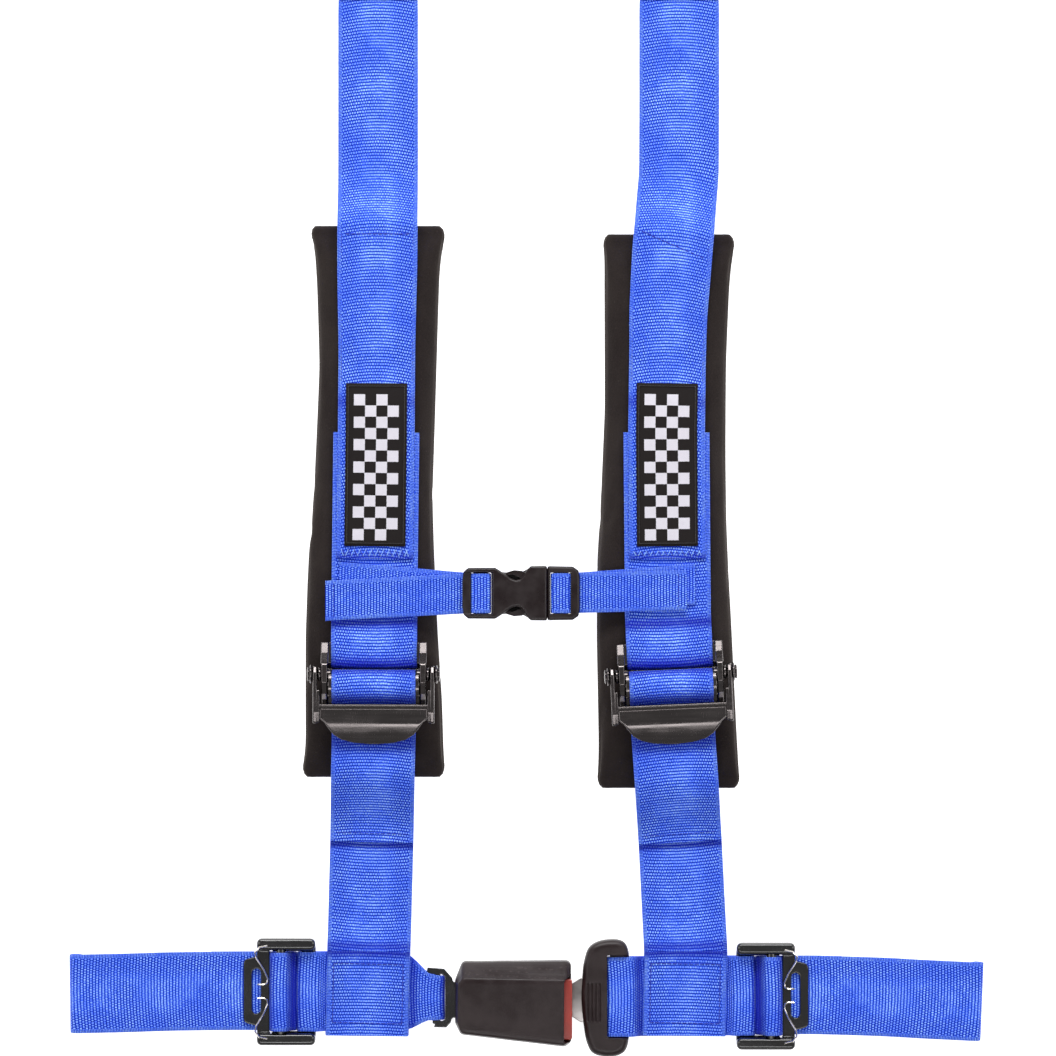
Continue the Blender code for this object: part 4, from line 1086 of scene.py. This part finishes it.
make_side(LEFT, LEFT_PAD)
make_side(RIGHT, RIGHT_PAD)
left_buckle_webbing()
right_buckle_webbing()
LEFT.lines["chest"] = chest_strap(LEFT, (-33.0, -24.0), -67.0, (-118.0, 260.6), (-126.8, 248.6))
RIGHT.lines["chest"] = chest_strap(RIGHT, (17.5, 26.5), 60.0, (107.0, 259.0), (101.6, 255.4))


# Hardware


def rounded(points, radius, steps=5):
    """The outline with an arc at each corner."""
    made = []
    for i, here in enumerate(points):
        here = Vector(here)
        back = (Vector(points[i - 1]) - here).normalized()
        ahead = (Vector(points[(i + 1) % len(points)]) - here).normalized()
        half = back.angle(ahead) / 2
        reach = radius / math.tan(half)
        middle = here + (back + ahead).normalized() * radius / math.sin(half)
        first = here + back * reach - middle
        last = here + ahead * reach - middle
        for k in range(steps + 1):
            spot = middle + first.lerp(last, k / steps).normalized() * radius
            made.append((spot.x, spot.y))
    return made


def eased(points, per_mm=0.9):
    """A smooth closed outline through the points."""
    places, _ = catmull([(x, y, 0) for x, y in points], True, per_mm)
    return [(p[0], p[1]) for p in places[:-1]]


def rectangle(u0, u1, v0, v1):
    return [(u0, v0), (u1, v0), (u1, v1), (u0, v1)]


def shrunk(plan, amount):
    """The outline moved inwards, square to its own edges."""
    ring = np.array(plan, float)
    along = np.roll(ring, -1, 0) - np.roll(ring, 1, 0)
    area = np.sum(ring[:, 0] * np.roll(ring[:, 1], -1) - np.roll(ring[:, 0], -1) * ring[:, 1])
    inward = np.stack([-along[:, 1], along[:, 0]], 1) * np.sign(area)
    inward /= np.maximum(np.linalg.norm(inward, axis=1), 1e-9)[:, None]
    return [tuple(p) for p in ring + inward * amount]


def at(plan, z):
    return [(x, y, z) for x, y in plan]


def loft(rings):
    """A closed mesh through rings of equally many points, capped at both ends."""
    points = [p for ring in rings for p in ring]
    mesh = mesh_of("loft", points, tube_faces(len(rings), len(rings[0])), smooth=False)
    with editing(mesh) as body:
        bmesh.ops.recalc_face_normals(body, faces=body.faces)
    return mesh


def prism(outline, low, high):
    """A flat outline raised from low to high."""
    return loft([at(outline, low), at(outline, high)])


def sideways(outline, low, high):
    """An outline of (y, z) points carried along X from low to high."""
    return loft([[(x, y, z) for y, z in outline] for x in (low, high)])


def block(plan, low, high, top, base=0.5, steps=5):
    """An outline raised from low to high, with a round of radius top above and base below."""
    turns = [math.pi / 2 * k / steps for k in range(steps + 1)]
    rings = [at(shrunk(plan, base * (1 - math.sin(t))), low + base * (1 - math.cos(t))) for t in turns]
    rings += [at(shrunk(plan, top * (1 - math.cos(t))), high - top * (1 - math.sin(t))) for t in turns]
    return loft(rings)


def box(x0, x1, y0, y1, z0, z1):
    return prism(rectangle(x0, x1, y0, y1), z0, z1)


def joined(meshes):
    """Closed meshes side by side in one mesh."""
    made = bpy.data.meshes.new("joined")
    with editing(made) as body:
        for mesh in meshes:
            body.from_mesh(mesh)
    return made


def carve(mesh, adds=(), cuts=(), voxel=0.3, smooth=3):
    """Joins what is added, cuts the rest away and softens every edge."""
    scene = bpy.context.scene.collection
    obj = bpy.data.objects.new("blank", joined([mesh, *adds]))
    scene.objects.link(obj)
    spare = [obj]

    def modified(kind, **settings):
        step = obj.modifiers.new(kind, kind)
        for key, value in settings.items():
            setattr(step, key, value)

    modified("REMESH", mode="VOXEL", voxel_size=voxel * MM)
    for shape in cuts:
        spare.append(bpy.data.objects.new("tool", shape))
        scene.objects.link(spare[-1])
        modified("BOOLEAN", operation="DIFFERENCE", object=spare[-1], solver="EXACT")
    if cuts:
        modified("REMESH", mode="VOXEL", voxel_size=voxel * MM)
    modified("SMOOTH", factor=0.5, iterations=smooth)
    made = bpy.data.meshes.new_from_object(obj.evaluated_get(bpy.context.evaluated_depsgraph_get()))
    for thing in spare:
        bpy.data.objects.remove(thing)
    return made


def bevelled(mesh, width, segments=3, angle=30):
    """Rounds a mesh's edges after joining its coplanar faces."""
    with editing(mesh) as body:
        bmesh.ops.remove_doubles(body, verts=body.verts, dist=2e-6)
        bmesh.ops.dissolve_limit(body, angle_limit=math.radians(1.5), verts=body.verts, edges=body.edges)
        least = math.radians(angle)
        edges = [e for e in body.edges if len(e.link_faces) == 2 and e.calc_face_angle() > least]
        bmesh.ops.bevel(
            body, geom=edges, offset=width * MM, offset_type="OFFSET", segments=segments, profile=0.5,
            affect="EDGES", clamp_overlap=True, miter_outer="SHARP",
        )
    return mesh


def hard(node, mesh, material, sharp=60):
    """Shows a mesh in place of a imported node, shaded smooth up to the angle sharp."""
    mesh.polygons.foreach_set("use_smooth", [True] * len(mesh.polygons))
    mesh.set_sharp_from_angle(angle=math.radians(sharp))
    link(node + "_look", mesh, material, frame["nodes"][node]["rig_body"], (node,))


def packed(node):
    return frame["nodes"][node].data.copy()


def refined(node, material, width, segments=2, angle=30):
    """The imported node's own shape, with its edges rounded."""
    hard(node, bevelled(packed(node), width, segments, angle), material, 32)


def turned(mesh, side):
    """Moves a mesh built about the axle's middle to its place on a side."""
    turn = Matrix.Rotation(side.turn, 4, "Z")
    here = Vector(world((*side.adjuster, CAM_LIFT)))
    mesh.transform(Matrix.Translation(here) @ turn @ Matrix.Translation(-Vector(world((0, 0, 0)))))
    return mesh


LIP = [(34.9, -27.6), (34.2, -28.0), (31.0, -30.6), (28.6, -34.2), (25.4, -38.2), (20.4, -41.4)]
LIP += [(12.4, -43.5), (0, -44.5)]
PLATE_TOP = [(-18.5, 2.5), (-18.8, 3.5), (-19.7, 4.15), (-20.7, 3.5), (-21.7, 2.75), (-24, 2.7)]
PLATE_TOP += [(-28, 2.68), (-30.8, 2.6), (-32.4, 2.3), (-34.4, 1.75), (-36.6, 1.05), (-39, 0.05)]
PLATE_TOP += [(-41.4, -1.2), (-43, -2.2), (-44, -3.0), (-44.45, -3.6)]
LEVER_PLATE = 1.9
LEVER_BORE = 3.3


def lip_width(v):
    """Half the lever plate's width at v, which narrows round the lip."""
    return float(np.interp(-v, [-q for _, q in LIP], [u for u, _ in LIP]))


def lever(side):
    """A rolled plate between two wings that turn on the axle, with a thumb lip at its free end."""
    places, _ = catmull([(v, z, 0) for v, z in PLATE_TOP], False, 3.0)
    rings = []
    for v, z, _ in places:
        w = max(lip_width(v), 3.0)
        r = LEVER_PLATE * min(1.0, 0.35 + (v + 44.5) / 1.6) / 2
        right = [(w - r + x, v, z - r + y) for x, y in arc((0, 0), r, 90, -90)]
        rings.append(right + [(-x, y, z) for x, y, z in reversed(right)])
    wing = [(3, -5.4), (5.6, -1), (5.2, 3.0), (1.0, 5.4), (-10, 5.0), (-24, 4.4), (-31.2, 2.6)]
    wing += [(-31.0, -1.5), (-20, -3.6), (-4, -5.6)]
    rail = [(-9.5, 4.6), (-24, 4.2), (-30.4, 2.4), (-30.4, 0.0), (-20, -1.6), (-9.5, -1.0)]
    parts = []
    for s in (-1, 1):
        parts.append(bevelled(sideways(rounded(wing, 1.2, 3), s * 35.7, s * 38.4), 0.7))
        parts.append(bevelled(sideways(rounded(rail, 1.0, 3), s * 34.0, s * 36.4), 0.6))
    bore = sideways(circle(LEVER_BORE, whole_turn(24)), -50, 50)
    mesh = turned(carve(loft(rings), parts, [bore], 0.3, 5), side)
    hard(f"{side.name}_adjuster_lever", mesh, GUNMETAL, 40)


def axle(side):
    """The oval cam bar with turned journals, a collar and a ringed rivet head at each end."""
    profile = [(27.0, 0.0), (27.0, 3.0), (32.9, 3.0), (33.1, 4.0), (33.5, 4.5), (34.3, 4.6), (34.9, 4.3)]
    profile += [(35.2, 3.0), (38.7, 3.0), (38.8, 5.0), (39.1, 5.8), (39.7, 6.0), (40.2, 5.6), (40.4, 3.6)]
    profile += [(40.7, 3.5), (40.9, 4.5), (41.4, 4.6), (41.8, 3.9), (42.0, 2.4), (42.0, 0.0)]
    heads = []
    for s in (-1, 1):
        rings = [[(s * x, *spot) for spot in circle(max(r, 0.05), whole_turn(32))] for x, r in profile]
        heads.append(loft(rings))
    oval = [(CAM_A * x - CAM_BACK, CAM_B * y) for x, y in circle(1, whole_turn(48))]
    cam = bevelled(sideways(oval, -28.9, 28.9), 0.5)
    mesh = turned(carve(cam, heads, [], 0.28, 3), side)
    hard(f"{side.name}_adjuster_axle", mesh, GUNMETAL, 40)


def lap_frame(side):
    """The stamped slide, with rolled flanges and a narrow lip along each end of its opening."""
    node = f"{side.name}_lap_adjuster_frame"
    y = side.lap_y(side.sign * 150)

    def plan(k, u0, u1, v0, v1):
        xs = sorted((side.sign * u0, side.sign * u1))
        return rectangle(*xs, *sorted((y + k * v0, y + k * v1)))

    trim, rolled = [], []
    for k in (-1, 1):
        trim.append(prism(plan(k, 130, 175, 25.9, 35), LAP_BASE + PLATE + 0.2, 16))
        outline = rounded(plan(k, 133.5, 170.7, 26.3, 33.9), 3.0, 4)
        rolled.append(block(outline, LAP_BASE, 14.0, 2.4, 0.3, 7))
        rolled.append(prism(plan(k, 143.0, 161.0, 25.3, 27.0), LAP_BASE, LAP_BASE + 1.6))
    reach = BAR_RADIUS + GAP
    track = plan(1, BAR_U - reach, BAR_U + BAR_TRAVEL + reach, -29.6, 29.6)
    plate = carve(packed(node), [], trim, 0.34, 1)
    mesh = carve(plate, rolled, [prism(track, BAR_LIFT - reach, BAR_LIFT + reach)], 0.34, 3)
    hard(node, mesh, BLACK_STEEL)


def adjuster_frame(side):
    """The base plate and its two upright ears, whose tops are rolled over smoothly."""
    node = f"{side.name}_adjuster_frame"
    base = ADJUSTER_BASE - CAM_LIFT
    curl = [(20.3, base + 3.8), (13.2, -1.0), (6.6, 5.2), (6.6, 3.2), (12.2, -3.0), (19.0, base + 1.4)]
    curls = [turned(sideways(curl, s * 28.7, s * 33.4), side) for s in (-1, 1)]
    mesh = carve(bevelled(packed(node), 0.9, 3, 50), curls, [], 0.33, 7)
    hard(node, mesh, GUNMETAL)


HOUSING = [(-45.0, 8.0), (-40.5, 19.6), (28.6, 20.2), (28.9, -30.8), (25.0, -34.3), (-41.5, -26.5)]
HOUSING += [(-45.0, -19.0)]
RIDGE = [(-43.4, 6.0), (-39.8, 10.6), (27.2, 9.4), (27.6, -29.8), (24.0, -32.6), (-41.0, -25.0)]
RIDGE += [(-43.6, -18.0)]
HOUSING_SPLIT = 9.0
HOUSING_EAVES = 12.6
HOUSING_RIDGE = 22.6


def buckle_covers():
    """The buckle's two shells: the upper one slopes in to a ridge, and both open towards the tongue."""
    plan = rounded(HOUSING, 3.4, 5)
    ridge = rounded(RIDGE, 3.4, 5)
    inside = shrunk(plan, 2.4)
    rings = [at(plan, HOUSING_SPLIT + GAP / 2), at(plan, 11.0), at(shrunk(plan, 0.15), HOUSING_EAVES)]
    for k in range(1, 6):
        share = k / 6
        height = HOUSING_EAVES + (HOUSING_RIDGE - HOUSING_EAVES) * share
        mixed = [tuple(np.array(a) * (1 - share) + np.array(b) * share) for a, b in zip(plan, ridge)]
        rings.append(at(mixed, height + 0.5 * math.sin(math.pi * share)))
    edge = [(0, 22.9), (0.6, 23.5), (1.6, 23.85), (3.4, 24.0)]
    rings += [at(shrunk(ridge, amount), height) for amount, height in edge]
    roof = loft([at(inside, 4), at(inside, 12), at(shrunk(ridge, 2.4), 21.8)])
    mouth = prism([(24.0, -30.6), (24.2, 8.0), (29.4, 13.6), (40, 13.6), (40, -30.6)], -1, 40)
    doorway = box(18.6, 40, -29.6, 9.2, 4, 19.2)
    top = carve(loft(rings), [], [roof, doorway, mouth], 0.42, 4)
    hard("buckle_top_cover", top, PLASTIC)
    blank = block(plan, 0, HOUSING_SPLIT - GAP / 2, 0.4, 1.2)
    neck = box(-50, -30, BUCKLE_Y - 12, BUCKLE_Y + 12, 2.6, 6.2)
    mouth = box(10, 40, BUCKLE_Y - 11, BUCKLE_Y + 11, 5.6, 12)
    bottom = carve(blank, [], [prism(inside, 2.4, 20), neck, mouth], 0.45, 3)
    hard("buckle_bottom_cover", bottom, PLASTIC)


GRIP = [(34.9, -3), (35.6, 9), (36.9, 20), (40.0, 28.4), (46.6, 32.4), (57.6, 33.4), (62.4, 31.6)]
GRIP += [(65.0, 26.6), (65.2, 14), (65.2, -20), (65.0, -31.0), (62.6, -37.4), (57.4, -40.3)]
GRIP += [(48.6, -40.6), (42.0, -38.2), (38.6, -31.8), (36.4, -20)]


def grip():
    """The tongue's moulded grip, slotted for the plate and the webbing, with four grooves on top."""
    left = GRIP_BAR_LEFT
    opening = rectangle(left - 1, 70, -28.9, 23.7)
    cuts = [box(30, 48.4, BUCKLE_Y - 14.4, BUCKLE_Y + 14.4, 5.6, 8.6)]
    cuts += [box(left - 1.9, left, -28.7, 23.5, -5, 20)]
    cuts += [prism(opening, GRIP_BAR_TOP, 20), prism(opening, -5, LAYER)]
    cuts += [box(u, u + 1.15, -18.6, 6.0, 11.15, 20) for u in (38.7, 41.2, 43.7, 46.2)]
    mesh = carve(block(eased(GRIP), 0, 12.0, 4.2, 1.4, 7), [], cuts, 0.34, 3)
    hard("tongue_grip", mesh, PLASTIC)


def buckle_loop():
    """The frame the left webbing is threaded through, its ears bent to the webbing's taper."""
    y = BUCKLE_Y
    low, high = BUCKLE_PLATE_LIFT - 1.25, BUCKLE_PLATE_LIFT + 1.25
    upper = [(-58.0, y + 14.4), (-63.2, y + 17.6), (-62.6, y + 20.6), (-52.0, y + 19.8), (-46.9, y + 14.0)]
    upper += [(-46.0, y + 10.0), (-54.0, y + 16.6)]
    lower = [(-57.0, y - 13.6), (-54.0, y - 13.8), (-46.6, y - 10.0), (-47.8, y - 14.4), (-50.6, y - 17.6)]
    lower += [(-58.6, y - 17.4)]
    strip = rectangle(-51.34, -49.8, y - 12, y + 15)
    ears = [prism(plan, low, high) for plan in (upper, lower, strip)]
    hard("buckle_frame", carve(packed("buckle_frame"), ears, [], 0.3, 3), BLACK_STEEL)


CLIP_LOW = 16.5
CLIP_HIGH = 27.5
SEAM_X = 13.3
CLIP_OPENING = 13.0


def mirrored(upper):
    """A closed outline about the chest strap's line, from the points of its upper half."""
    return [(u, v + CHEST_Y) for u, v in upper + [(u, -v) for u, v in reversed(upper)]]


def clip_block(x0, x1, reach, low=0, high=40):
    """A box that reaches equally far to both sides of the chest strap's line."""
    return box(x0, x1, CHEST_Y - reach, CHEST_Y + reach, low, high)


def clip_socket():
    """The female half: a bar for the webbing, windows for the prongs, and a floor under its waist."""
    upper = [(-40.2, 8), (-39.4, 13.6), (-36.6, 16.1), (-19.4, 16.2), (-12.4, 11.6), (-9.6, 9.6)]
    upper += [(-6.6, 8.4), (-4.0, 8.9), (-1.4, 11.6), (0.4, 14.8), (3.0, 17.2), (SEAM_X, 17.3)]
    blank = block(rounded(mirrored(upper), 1.0, 3), CLIP_LOW, CLIP_HIGH, 1.7, 1.2, 6)
    cuts = [clip_block(-41, -21, 20, CLIP_LOW - 1, CLIP_BAR_LOW)]
    cuts += [clip_block(-41, -21, 13.4, CLIP_BAR_HIGH + 1.8, CLIP_HIGH + 1)]
    cuts += [clip_block(-34.9, -33, CLIP_OPENING), clip_block(-24, -21.9, CLIP_OPENING)]
    cuts += [clip_block(-33.5, -23.5, CLIP_OPENING, CLIP_BAR_HIGH)]
    cuts += [clip_block(-42, -35.5, 13.3, 0, OVER + WEBBING / 2 + GAP)]
    cuts += [clip_block(-14.5, 20, 15, 18.9, 25.1)]
    waist = [(-19, 14.6), (-14.0, 13.2), (-7.4, 12.9), (-1.4, 14.0), (0.6, 15.2)]
    waist_floor = prism(mirrored(waist), 16.7, 18.4)
    seam_lip = clip_block(SEAM_X - 2.0, SEAM_X + 1.4, 15.5, 16.7, 18.2)
    mesh = carve(carve(blank, [], cuts, 0.3, 1), [waist_floor, seam_lip], [], 0.3, 2)
    hard("chest_buckle_female", mesh, GLOSSY)


def clip_plug():
    """The male half: a frame with a bar for the webbing, and a tongue that guides it into the socket."""
    plan = mirrored([(SEAM_X + GAP, 17.2), (29.6, 16.9), (33.2, 14.4), (34.0, 10)])
    blank = block(rounded(plan, 1.0, 3), 18.6, 26.4, 1.8, 1.0, 6)
    guide = clip_block(-4, SEAM_X + 1.2, 2.4, 19.3, 24.7)
    cuts = [clip_block(15.4, 17.5, CLIP_OPENING), clip_block(26.5, 28.4, CLIP_OPENING)]
    cuts += [clip_block(17, 27, CLIP_OPENING, CLIP_BAR_HIGH)]
    cuts += [clip_block(15, 28, CLIP_OPENING, 10, CLIP_BAR_LOW)]
    cuts += [clip_block(29, 36, 13.3, 0, OVER + WEBBING / 2 + GAP)]
    hard("chest_buckle_male", carve(blank, [guide], cuts, 0.3, 3), GLOSSY)
    for word in ("upper", "lower"):
        prong = f"chest_prong_{word}"
        hard(prong, carve(packed(prong), voxel=0.25, smooth=3), GLOSSY)


def spring(node):
    refined(node, WIRE, 0.05, 1, 80)


for side in (LEFT, RIGHT):
    lever(side)
    axle(side)
    adjuster_frame(side)
    lap_frame(side)
    refined(f"{side.name}_lap_adjuster_bar", BLACK_STEEL, 0.5)
    for word in ("shoulder", "lap"):
        refined(f"{side.name}_{word}_bracket", STEEL, 0.35)
    for word in ("upper", "lower"):
        spring(f"{side.name}_lap_spring_{word}")
buckle_covers()
grip()
clip_socket()
clip_plug()
buckle_loop()
refined("latch_pivot_pin", STEEL, 0.2)
refined("latch_pawl", STEEL, 0.3)
refined("ejector", PLASTIC, 0.3)
spring("ejector_spring")
spring("button_spring")
refined("release_button", RED, 0.7, 3)
refined("tongue_plate", STEEL, 0.35, 3)


# Stitching


def seam(line, *spots, lift=0.12, count=24):
    """A run of stitches straight from spot to spot. Each spot is (station, distance from middle)."""
    run = []
    for (i0, u0), (i1, u1) in zip(spots, spots[1:]):
        for k in range(count + 1):
            share = k / count
            i = int(round(i0 + (i1 - i0) * share))
            run.append((line.spot(i, u0 + (u1 - u0) * share, lift), line.up(i)))
    return run


def zigzag(line, i0, i1, reach, teeth):
    """Bar-tack stitches back and forth between two stations."""
    runs = []
    for k in range(teeth):
        a, b = (reach * (2 * n / teeth - 1) for n in (k, k + 1))
        first, last = (i0, i1) if k % 2 == 0 else (i1, i0)
        runs.append(seam(line, (first, a), (last, b), count=5))
    return runs


def border(line, first, last, half, count):
    """A rectangle of seams between two stations."""
    runs = [seam(line, (i, -half), (i, half)) for i in (first, last)]
    return runs + [seam(line, (first, k * half), (last, k * half), count=count) for k in (-1, 1)]


def side_stitches(side):
    over, patch, tail, chest, badge = (
        side.lines[word] for word in ("shoulder", "junction", "lower", "chest", "label")
    )

    def sew(word, runs, *how, **more):
        stitching(f"{side.name}_{word}", side.body, runs, *how, **more)

    level, slant = (481.2, 0) if side is LEFT else (473.0, 14)
    head = over.top(1, level)
    foot = over.top(1, 388.0)
    sew("strap_seam", [seam(over, (head - slant, -20.0), (head + slant, 20.0))])
    edges = [seam(over, (head, k * 22.6), (foot, k * 22.4), lift=0.02, count=90) for k in (-1, 1)]
    sew("strap_edge_seams", edges, radius=0.2)
    start, end = (over.top(1, y) for y in (280.6, 277.4))
    tack = zigzag(over, start, end, 20.5, 22)
    sew("strap_tack", tack[::2], radius=0.26, length=3.4, gap=0.2)
    knots = [seam(over, (start, k * 20.6 - 0.8), (end, k * 20.6 + 0.8), count=5) for k in (-1, 1)]
    sew("strap_knots", tack[1::2] + knots, PALE_THREAD, 0.26, 3.4, 0.2)
    sew("junction_seam", border(patch, patch.top(1, 18.6), patch.top(1, -20.0), 22.0, 40))
    hem = tail.top(1, HEM_Y + 5.0)
    sew("tail_hem", [seam(tail, (hem, -22.5), (hem, 22.5))], radius=0.24)
    hem = len(chest.at) - 1 - int(round(5.0 / chest.at[1]))
    sew("chest_hem", [seam(chest, (hem, -10.6), (hem, 10.6))], radius=0.24, length=2.2)
    rim = border(badge, 1, len(badge.at) - 2, 17.8, 60)
    sew("label_border", rim, DARK_THREAD, 0.26, 1.7, 0.25, "label_fabric")


for side in (LEFT, RIGHT):
    side_stitches(side)


# Floor, light and camera

FLOOR_SIZE = 6.0
FLOOR_GLOW = 0.9
CAMERA_PLACE = (0.00127, -0.0526, 3.73)
CAMERA_LENS = 200.0
SKY = 0.27
FRONT = 11.0
BACK = 46.0
SIDES = 7.0


def floor():
    """A pale acrylic table, lit softly from within."""
    g = Graph("floor_acrylic", roughness=0.9)
    clouds = g.span(g.noise(g.place(), 3.0, 2.0), 0.3, 0.7)
    g.put("Base Color", g.mix(clouds, (0.92, 0.92, 0.925), (0.94, 0.94, 0.94)))
    g.put("Emission Color", (1.0, 1.0, 1.0, 1.0))
    g.put("Emission Strength", FLOOR_GLOW)
    half = FLOOR_SIZE / 2
    mesh = bpy.data.meshes.new("floor")
    mesh.from_pydata(at(rectangle(-half, half, -half, half), 0), [], [(0, 1, 2, 3)])
    obj = bpy.data.objects.new("floor", mesh)
    obj.location.z = -0.0008
    obj.data.materials.append(g.material)
    bpy.context.scene.collection.objects.link(obj)


def lamp(name, place, aim, size, power):
    data = bpy.data.lights.new(name, "AREA")
    data.shape = "RECTANGLE"
    data.size, data.size_y = size
    data.energy = power
    obj = bpy.data.objects.new(name, data)
    obj.location = place
    obj.rotation_euler = (Vector(aim) - Vector(place)).to_track_quat("-Z", "Y").to_euler()
    bpy.context.scene.collection.objects.link(obj)


def studio():
    """A white room with a soft box at each side of the table, and the camera straight above it."""
    scene = bpy.context.scene
    scene.world = bpy.data.worlds.new("studio")
    scene.world.use_nodes = True
    back = scene.world.node_tree.nodes["Background"]
    back.inputs[0].default_value = (1.0, 1.0, 1.0, 1.0)
    back.inputs[1].default_value = SKY
    lamp("front_box", (0, -1.0, 1.75), (0, -0.1, 0), (2.2, 0.32), FRONT)
    lamp("back_box", (0, 1.65, 1.3), (0, 0, 0), (2.2, 0.6), BACK)
    lamp("left_box", (-1.6, 0, 1.3), (0, 0, 0), (0.7, 1.6), SIDES)
    lamp("right_box", (1.6, 0, 1.3), (0, 0, 0), (0.7, 1.6), SIDES)
    data = bpy.data.cameras.new("camera")
    data.lens = CAMERA_LENS
    data.clip_end = 50.0
    scene.camera = bpy.data.objects.new("camera", data)
    scene.camera.location = CAMERA_PLACE
    scene.collection.objects.link(scene.camera)
    scene.view_settings.view_transform = "Standard"


floor()
studio()
